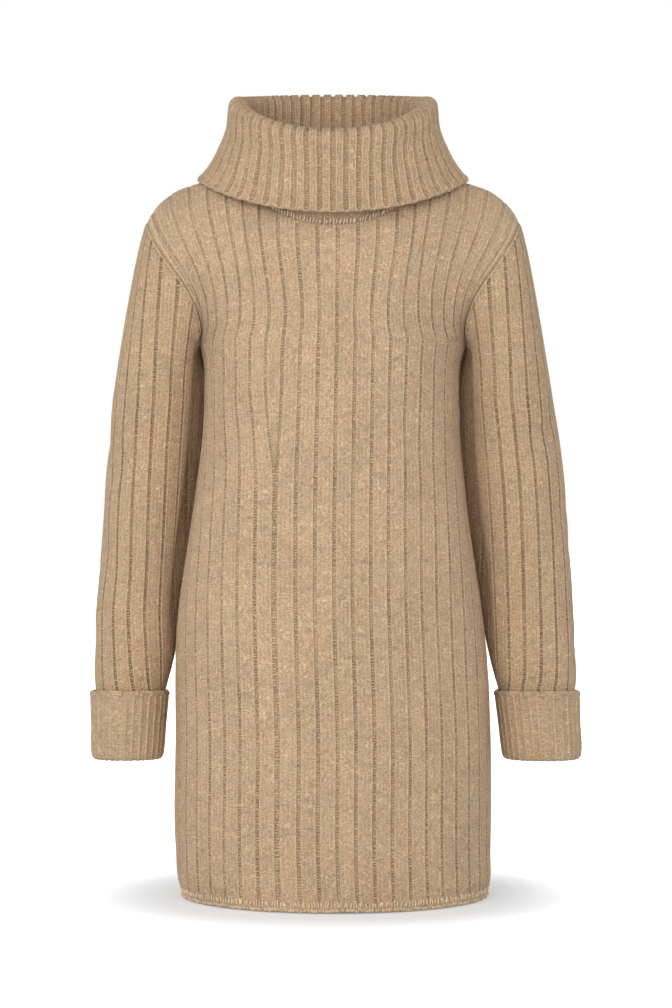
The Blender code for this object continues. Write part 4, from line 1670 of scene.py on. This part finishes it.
class Stitches:
    """Stitches of a rib: curling loops on its bands, bars or braids down its gutters.

    The rib is read on the knit map, across by ribs and up by courses, and noise makes the yarn
    stray a little on it. Every part of the pattern is 1 on its yarn and 0 off it.
    """

    inputs = ("Rib", "Course", "Ribbing", "Gutter", "Pitch", "Wales", "Bead", "Bead Width",
              "From Armhole")
    outputs = ("Height", "Gutter", "Bar", "Loop", "Bead", "Chain", "Hollow", "Faded")
    chains = (Line(0.0034, 0.0011, 1.0), Line(0.0104, 0.001, 0.6))
    dents = Line(0.006, 0.0015, 1.0)
    # the seam's groove, darkened in the colour with the dents as painted shade
    seam = Line(0.0, 0.0016, 0.2)

    def __init__(self) -> None:
        """Start the node group: let the rib and the course stray, and find the nearest gutter."""
        self.wires, self.given, self.made = new_group(
            "rib_stitches", dict.fromkeys(self.inputs, "Float"), dict.fromkeys(self.outputs, "Float"))
        wires, rib, course = self.wires, self.given["Rib"], self.given["Course"]
        self.spot = wires.spot(rib, course * 0.16)
        wander, jitter = wires.noise(self.spot, 5.0) - 0.5, wires.noise(self.spot, 26.0) - 0.5
        self.course = wander * 1.6 + course + jitter * 0.5
        self.rib = jitter * 0.03 + rib
        self.aside = self.rib - self.rib.nearest()
        self.off = abs(self.aside)

    def group(self) -> Tree:
        """Finish the node group.

        Returns:
            The group, which gives the height of the yarn and how much of each part is there.
        """
        wires, edge = self.wires, self.given["Gutter"]
        gutter = wires.ramp(self.off, edge * 0.8, edge * 1.12, 1.0, 0.0) * self.given["Ribbing"]
        bar, bead, loop = self.bar(), self.bead(), self.loop()
        chain, hollow = self.armhole()
        run = wires.spot(self.rib.nearest() * 1.7, self.given["Course"] * 0.05)
        faded = wires.ramp(wires.noise(run, 1.0), 0.35, 0.62, 0.5, 1.0)
        height = gutter * bar * 0.9 + (1.0 - gutter) * loop * 0.62 + bead * 0.5
        height = height + (chain - hollow) * 0.4
        for word, value in zip(self.outputs, (height, gutter, bar, loop, bead, chain, hollow, faded)):
            wires.join(value, self.made[word])
        return wires.tree

    def bar(self) -> Signal:
        """Draw bars across a gutter, whose two halves are out of step where it is braided.

        Returns:
            The bars.
        """
        wires = self.wires
        braid = wires.ramp(wires.noise(self.spot, 2.6, 1.0), 0.52, 0.6, 0.0, 0.5)
        phase = wires.math("GREATER_THAN", self.aside, 0.0) * braid + self.course
        return wires.ramp(phase.wave(), 0.22, 0.72)

    def bead(self) -> Signal:
        """Draw the line of plump stitches beside a gutter, stronger here and there; the materials
        paint it pale as a painted highlight.

        Returns:
            The stitches.
        """
        wires, away, width = self.wires, abs(self.off - self.given["Bead"]), self.given["Bead Width"]
        line = wires.ramp(away, width * 0.25, width, 1.0, 0.0) * self.given["Ribbing"]
        line = line * wires.ramp(wires.noise(self.spot, 4.1, 1.0), 0.36, 0.6, 0.35, 1.0)
        return line * ((self.course + 0.3).wave() * 0.5 + 0.6)

    def loop(self) -> Signal:
        """Draw the wales of a band, of two legs to a stitch, with curling loops here and there.

        Returns:
            The yarn of both.
        """
        wires, given, edge = self.wires, self.given, self.given["Gutter"]
        wale = (self.off - edge) / (0.5 - edge) * given["Wales"]
        across = abs(wires.math("FRACT", wale) * 2.0 - 1.0)
        leg = 1.0 - wires.math("POWER", across, 3.0)
        plain = leg * ((across * -0.75 + self.course).wave() * 0.7 + 0.3)
        flat = wires.spot(given["Rib"] * given["Pitch"], given["Course"])
        swirl = (wires.noise(flat, 0.21, 1.0) * 10.0 + given["Course"]).wave()
        curled = wires.ramp(wires.noise(self.spot, 3.3, 1.0), 0.4, 0.6, 0.1, 0.8)
        return (swirl - plain) * curled + plain

    def armhole(self) -> tuple[Signal, Signal]:
        """Draw the chained stitches along the armhole.

        Returns:
            The stitches, and the dents beside them with the seam's groove, which the materials darken
            as painted shade.
        """
        purl = (self.given["Course"] * 0.8).wave()
        first, second, dents, seam = (
            self.wires.ramp(abs(self.given["From Armhole"] - line.place), 0.3 * line.half_width,
                            line.half_width, 1.0, 0.0) * line.strength
            for line in (*self.chains, self.dents, self.seam))
        return (first + second) * (purl * 0.5 + 0.5), dents * (1.0 - purl) + seam


@dataclass(frozen=True)
class Heather:
    """Colour of mottled wool: soft patches towards rose and olive, flecks and pale fibres."""

    patch_scale: float = 46.0
    stretch: float = 0.55  # of the patches, upwards
    rose: Colour = (1.03, 0.955, 0.91, 1.0)
    olive: Colour = (0.97, 1.005, 0.97, 1.0)
    strand_scale: float = 640.0
    strand_tint: Colour = (0.82, 0.68, 0.5, 1.0)
    strand_share: float = 0.35

    def group(self) -> Tree:
        """Make the node group.

        Returns:
            The group, which gives the wool's colour and the height of its fuzz.
        """
        wires, given, made = new_group("heather", {"Wool": "Color", "Patches": "Float"},
                                       {"Color": "Color", "Fuzz": "Float"})
        spot = wires.node("ShaderNodeTexCoord", "Object")
        tall = wires.node("ShaderNodeMapping", Vector=spot, Scale=(1.0, 1.0, self.stretch))
        patch, colour = wires.noise(tall, self.patch_scale, 1.5), given["Wool"]
        for strongest, tint in ((0.72, self.rose), (0.3, self.olive)):
            share = wires.ramp(patch, 0.5, strongest) * given["Patches"]
            colour = wires.blend(share, colour, tint, "MULTIPLY")
        fleck = wires.noise(spot, 480.0, 3.0)
        for noise, low, high, dark, pale in ((wires.noise(tall, 24.0), 0.3, 0.7, 0.95, 1.05),
                                             (wires.noise(spot, 210.0), 0.3, 0.7, 0.93, 1.065),
                                             (fleck, 0.28, 0.72, 0.8, 1.19)):
            colour = wires.shade(colour, wires.ramp(noise, low, high, dark, pale))
        laid = wires.node("ShaderNodeMapping", Vector=spot, Scale=(1.0, 1.0, 0.22),
                          Rotation=(0.35, 0.5, 0.3))
        strand = wires.ramp(wires.noise(laid, self.strand_scale), 0.62, 0.76)
        colour = wires.blend(strand * self.strand_share, colour, self.strand_tint)
        wires.join(colour, made["Color"])
        wires.join(strand * 0.6 + fleck, made["Fuzz"])
        return wires.tree


class Groups(NamedTuple):
    """Node groups that the finishes share."""

    stitches: Tree
    heather: Tree


def plain_material(name: str) -> tuple[bpy.types.Material, Wiring, bpy.types.Node]:
    """Start a matt, slightly fuzzy material.

    Args:
        name: Name of the material.

    Returns:
        The material, its wiring and its shader.
    """
    material = bpy.data.materials.new(name)
    material.use_nodes = True
    shader = material.node_tree.nodes["Principled BSDF"]
    for word, value in (("Roughness", 0.92), ("IOR", 1.35), ("Sheen Weight", 0.12),
                        ("Sheen Roughness", 0.5), ("Sheen Tint", (0.95, 0.86, 0.74, 1.0))):
        shader.inputs[word].default_value = value
    return material, Wiring(material.node_tree), shader


@dataclass(frozen=True)
class Yarn:
    """Unknitted yarn of the edges and seams."""

    tint: tuple[float, float, float]
    patches: float = 0.5  # strength of the rose and olive patches
    fuzz: float = 0.0003  # height of the fuzz

    def material(self, name: str, groups: Groups) -> bpy.types.Material:
        """Make the material of the yarn.

        Args:
            name: Name of the material.
            groups: The node groups, of which yarn only needs the heather.

        Returns:
            The material.
        """
        material, wires, shader = plain_material(name)
        wool = wires.group(groups.heather, {"Wool": (*self.tint, 1.0), "Patches": self.patches})
        wires.join(wool["Color"], shader.inputs["Base Color"])
        bump = wires.node("ShaderNodeBump", Strength=1.0, Distance=self.fuzz, Height=wool["Fuzz"])
        wires.join(bump, shader.inputs["Normal"])
        return material


@dataclass(frozen=True)
class Wool:
    """Wool knitted in one rib; its shades are painted shade, how much darker the gutters, the gaps
    between bars and stitches and the dents and seam by the armhole are, the bead's light is a painted
    highlight, and the chains' light says how much paler the chains are.
    """

    rib: Rib
    tint: tuple[float, float, float] = (0.583, 0.421, 0.277)
    wales: float = 2.0  # columns of stitches on half a band
    bead: float = 0.13  # ribs from a gutter's middle to the pale line beside it
    bead_width: float = 0.045  # half the width of that line
    # painted shade over the whole of a gutter
    gutter_painted_shade: float = 0.0
    # painted shade in the gaps between a gutter's bars
    bar_gap_painted_shade: float = 0.66  # of the gaps between a gutter's bars
    # painted shade in the gaps between a band's stitches
    between_painted_shade: float = 0.38  # of the gaps between the stitches of a band
    # painted shade in the dents beside the armhole's chains and in its seam
    dent_painted_shade: float = 0.3  # of the dents beside the armhole's chains
    # painted highlight on the line beside each gutter
    bead_painted_highlight: float = 0.62
    chain_light: float = 0.62
    brightness: float = 1.185  # of the palest wool, as a share of the tint
    # painted warm brown shade over the gutters, added to wherever painted shade is
    gutter_painted_warm_shade: float = 0.12
    patches: float = 0.6  # strength of the rose and olive patches
    relief: float = 0.0013  # height of a full stitch
    fuzz: float = 0.00022  # height of the fuzz

    def material(self, name: str, groups: Groups) -> bpy.types.Material:
        """Make the material of a ribbed piece.

        Args:
            name: Name of the material.
            groups: The node groups.

        Returns:
            The material.
        """
        material, wires, shader = plain_material(name)
        knit = wires.group(groups.stitches, self.knit_map(wires))
        wool = wires.group(groups.heather, {"Wool": (*self.tint, 1.0), "Patches": self.patches})
        # Painted shade: the colour is darkened in the gutters, in the gaps between their bars and
        # between a band's stitches, and in the dents and the seam by the armhole.
        gap = (1.0 - knit["Bar"]) * knit["Faded"]
        dark = (gap * self.bar_gap_painted_shade + self.gutter_painted_shade) * knit["Gutter"]
        between = (1.0 - knit["Loop"]) * (1.0 - knit["Gutter"])
        dark = between * self.between_painted_shade + dark
        dark = knit["Hollow"] * self.dent_painted_shade + dark
        colour = wires.shade(wool["Color"], self.brightness - dark)
        # Painted highlight on the bead line beside each gutter, and the paler chains along the
        # armhole.
        pale = knit["Bead"] * self.bead_painted_highlight + knit["Chain"] * self.chain_light
        colour = wires.blend(pale, colour, (0.84, 0.7, 0.53, 1.0))
        # Painted warm shade: a warm brown tint over the gutters and wherever painted shade darkens the
        # colour.
        warm = wires.blend(1.0, colour, (1.05, 0.86, 0.62, 1.0), "MULTIPLY")
        colour = wires.blend(knit["Gutter"] * self.gutter_painted_warm_shade + dark, colour, warm)
        wires.join(colour, shader.inputs["Base Color"])
        height = knit["Height"] * self.relief + wool["Fuzz"] * self.fuzz
        bump = wires.node("ShaderNodeBump", Strength=1.0, Distance=1.0, Height=height)
        wires.join(bump, shader.inputs["Normal"])
        return material

    def knit_map(self, wires: Wiring) -> dict[str, Value]:
        """Read the knit map and both attributes.

        Args:
            wires: Wiring of the material.

        Returns:
            Inputs of the group that draws the stitches, by name.
        """
        chart = wires.node("ShaderNodeUVMap", settings={"uv_map": KNIT_MAP})
        parts = wires.node("ShaderNodeSeparateXYZ", i0=chart).socket.node.outputs
        ribbing, from_armhole = (wires.node("ShaderNodeAttribute", "Fac", {"attribute_name": word})
                                 for word in (RIBBING, CHAIN))
        return {"Rib": Signal(wires, parts["X"]), "Course": Signal(wires, parts["Y"]),
                "Ribbing": ribbing, "Gutter": self.rib.gutter, "Pitch": self.rib.pitch / COURSE,
                "Wales": self.wales, "Bead": self.bead, "Bead Width": self.bead_width,
                "From Armhole": from_armhole}


FINISHES = {
    Finish.BODY: Wool(BODY_RIB),
    Finish.SLEEVE: Wool(SLEEVE_RIB, tint=(0.563, 0.404, 0.259), gutter_painted_shade=0.12),
    Finish.COLLAR: Wool(COLLAR_RIB, tint=(0.565, 0.4, 0.255), wales=1.5, bead=0.26,
                        bead_width=0.07, gutter_painted_shade=0.08, bar_gap_painted_shade=0.4),
    Finish.CUFF: Wool(CUFF_RIB, tint=(0.567, 0.407, 0.264), wales=1.5, bead=0.255,
                      bead_width=0.08, bar_gap_painted_shade=0.2),
    Finish.TRIM: Yarn((0.8, 0.64, 0.48)),
    Finish.LOOP: Yarn((0.8, 0.63, 0.46)),
    Finish.EDGE: Yarn((0.62, 0.455, 0.3)),
}
TRIMS = {"seam": Finish.TRIM, "loops": Finish.LOOP, "beads": Finish.EDGE}


@dataclass(frozen=True)
class Studio:
    """White room with even light, a soft key from the front left, and the camera in front."""

    floor_height: float = -0.8068
    floor_reach: tuple[float, float, float] = (9.0, 4.0, 14.0)  # to each side, in front, behind
    floor_tint: Colour = (0.67, 0.69, 0.71, 1.0)
    # the floor glows less where the sweater stands, a painted shadow round its hem, and fully far off
    floor_glow_and_painted_shadow: Span = (0.25, 1.1)  # where the sweater stands, and far off
    glow_rise: Span = (0.18, 0.4)  # distances between which it grows
    glow_depth: float = 1.3  # by which distances from front to back count for more
    fill: float = 0.775  # light from all round, where white is 1
    key: float = 18.6  # power of the lamp at the left, in watts
    kicker: float = 6.1  # power of the lamp at the right
    lamp_out: float = 1.0  # of both lamps from the middle
    lamp_ahead: float = 1.95
    lamp_height: float = 0.2
    aim: tuple[float, float, float] = (0.0, 0.0, -0.35)
    lamp_size: float = 1.6  # of each square lamp, which sets how soft shadows are
    eye: tuple[float, float, float] = (0.0033, -2.5, -0.373)
    lens: float = 80.44
    sensor_width: float = 36.0
    flag_size: tuple[float, float, float] = (0.55, 0.35, 0.6)  # half width, half depth, height
    flag_tint: Colour = (0.03, 0.03, 0.03, 1.0)

    def build(self) -> None:
        """Make the room, the lights and the camera."""
        scene = bpy.context.scene
        scene.view_settings.view_transform = "Standard"
        scene.world = self.room()
        self.floor()
        self.lamp("key", -self.lamp_out, self.key)
        self.lamp("kicker", self.lamp_out, self.kicker)
        self.flag()
        lens = bpy.data.cameras.new("camera")
        lens.lens, lens.sensor_width = self.lens, self.sensor_width
        scene.camera = place("camera", lens)
        scene.camera.location = self.eye
        scene.camera.rotation_euler = (pi / 2, 0, 0)

    def lamp(self, name: str, out: float, power: float) -> None:
        """Put up one square lamp, turned to the sweater.

        Args:
            name: Name of the lamp.
            out: How far it stands to the side.
            power: Its power in watts.
        """
        light = bpy.data.lights.new(name, "AREA")
        light.energy, light.size = power, self.lamp_size
        lamp = place(name, light)
        lamp.location = (out, -self.lamp_ahead, self.lamp_height)
        lamp.rotation_euler = (lamp.location - Vector(self.aim)).to_track_quat("Z", "Y").to_euler()

    def room(self) -> bpy.types.World:
        """Make a white world that shows as pure white and lights a little less.

        Returns:
            The world.
        """
        world = bpy.data.worlds.new("studio")
        world.use_nodes = True
        wires = Wiring(world.node_tree)
        seen = wires.node("ShaderNodeLightPath", "Is Camera Ray")
        backdrop = world.node_tree.nodes["Background"]
        backdrop.inputs["Color"].default_value = (1, 1, 1, 1)
        wires.join(seen * (1.0 - self.fill) + self.fill, backdrop.inputs["Strength"])
        return world

    def card(self, name: str, paint_name: str, sides: tuple[float, float, float, float],
             height: float) -> tuple[Thing, bpy.types.Material, bpy.types.Node]:
        """Lay a level rectangle of its own material, as part of the room.

        Args:
            name: Name of the card.
            paint_name: Name of its material.
            sides: Where its left, front, right and back sides are.
            height: Its height.

        Returns:
            The card, its material and its shader.
        """
        left, ahead, right, behind = sides
        corners = np.array([(left, ahead, height), (right, ahead, height), (right, behind, height),
                            (left, behind, height)])
        card = place(name, mesh_of(name, corners, [np.array([[0, 1, 2, 3]])]))
        paint = bpy.data.materials.new(paint_name)
        paint.use_nodes = True
        card.data.materials.append(paint)
        return card, paint, paint.node_tree.nodes["Principled BSDF"]

    def flag(self) -> None:
        """Hang a dark card over the shoulders, out of sight, that takes down the light there."""
        half, deep, high = self.flag_size
        card, _, shader = self.card("flag", "black card", (-half, -deep, half, deep), high)
        shader.inputs["Base Color"].default_value = self.flag_tint
        card.visible_camera = False

    def floor(self) -> None:
        """Lay a white floor that glows for the camera, bright enough far off to run into the
        background; round the sweater its glow is lower, a painted shadow over the real one.
        """
        wide, ahead, behind = self.floor_reach
        _, paint, shader = self.card("floor", "floor paint", (-wide, -ahead, wide, behind),
                                     self.floor_height)
        wires = Wiring(paint.node_tree)
        for word, value in (("Base Color", self.floor_tint), ("Roughness", 1.0),
                            ("Specular IOR Level", 0.0), ("Emission Color", (1, 1, 1, 1))):
            shader.inputs[word].default_value = value
        level = wires.node("ShaderNodeVectorMath", 0, {"operation": "MULTIPLY"},
                           i0=wires.node("ShaderNodeTexCoord", "Object"),
                           i1=(1.0, self.glow_depth, 0.0))
        away = wires.node("ShaderNodeVectorMath", "Value", {"operation": "LENGTH"}, i0=level)
        # Painted shadow: the glow is low near the sweater and rises away from it.
        glow = wires.ramp(away, *self.glow_rise, *self.floor_glow_and_painted_shadow)
        seen = wires.node("ShaderNodeLightPath", "Is Camera Ray")
        wires.join(glow * seen, shader.inputs["Emission Strength"])


def main() -> None:
    """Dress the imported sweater, light it and look at it from the front."""
    logging.basicConfig(level=logging.INFO, format="%(message)s")
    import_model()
    front = Panel(Node.FRONT, "front", FRONT, FRONT_CREASES, Dart(-1, 2.75, -0.245, -0.358))
    back = Panel(Node.BACK, "back", BACK, BACK_CREASES, Dart(1, 4.25, -0.31, -0.425))
    panels = (front, back)
    pieces = (
        *panels,
        Sleeve(Node.SLEEVE_LEFT, "left_sleeve", 1, LEFT_RINGS, LEFT_CREASES, panels),
        Sleeve(Node.SLEEVE_RIGHT, "right_sleeve", -1, RIGHT_RINGS, RIGHT_CREASES, panels),
        Cuff(Node.CUFF_LEFT, "left_cuff", 1, LEFT_CUFF, 16, LEFT_RINGS.rows[0]),
        Cuff(Node.CUFF_RIGHT, "right_cuff", -1, RIGHT_CUFF, 15, RIGHT_RINGS.rows[0]),
        Collar(Node.COLLAR, "collar", COLLAR_CREASES, panels),
    )
    things = [piece.build() for piece in pieces]
    trims = {panel.node: Edging(panel, seed).build() for panel, seed in zip(panels, (3, 17))}
    groups = Groups(Stitches().group(), Heather().group())
    wools = {finish: wool.material(finish.value, groups) for finish, wool in FINISHES.items()}
    for piece, thing in zip(pieces, things):
        piece.dress(thing, trims.get(piece.node, ()), wools)
    Studio().build()


if __name__ == "__main__":
    main()
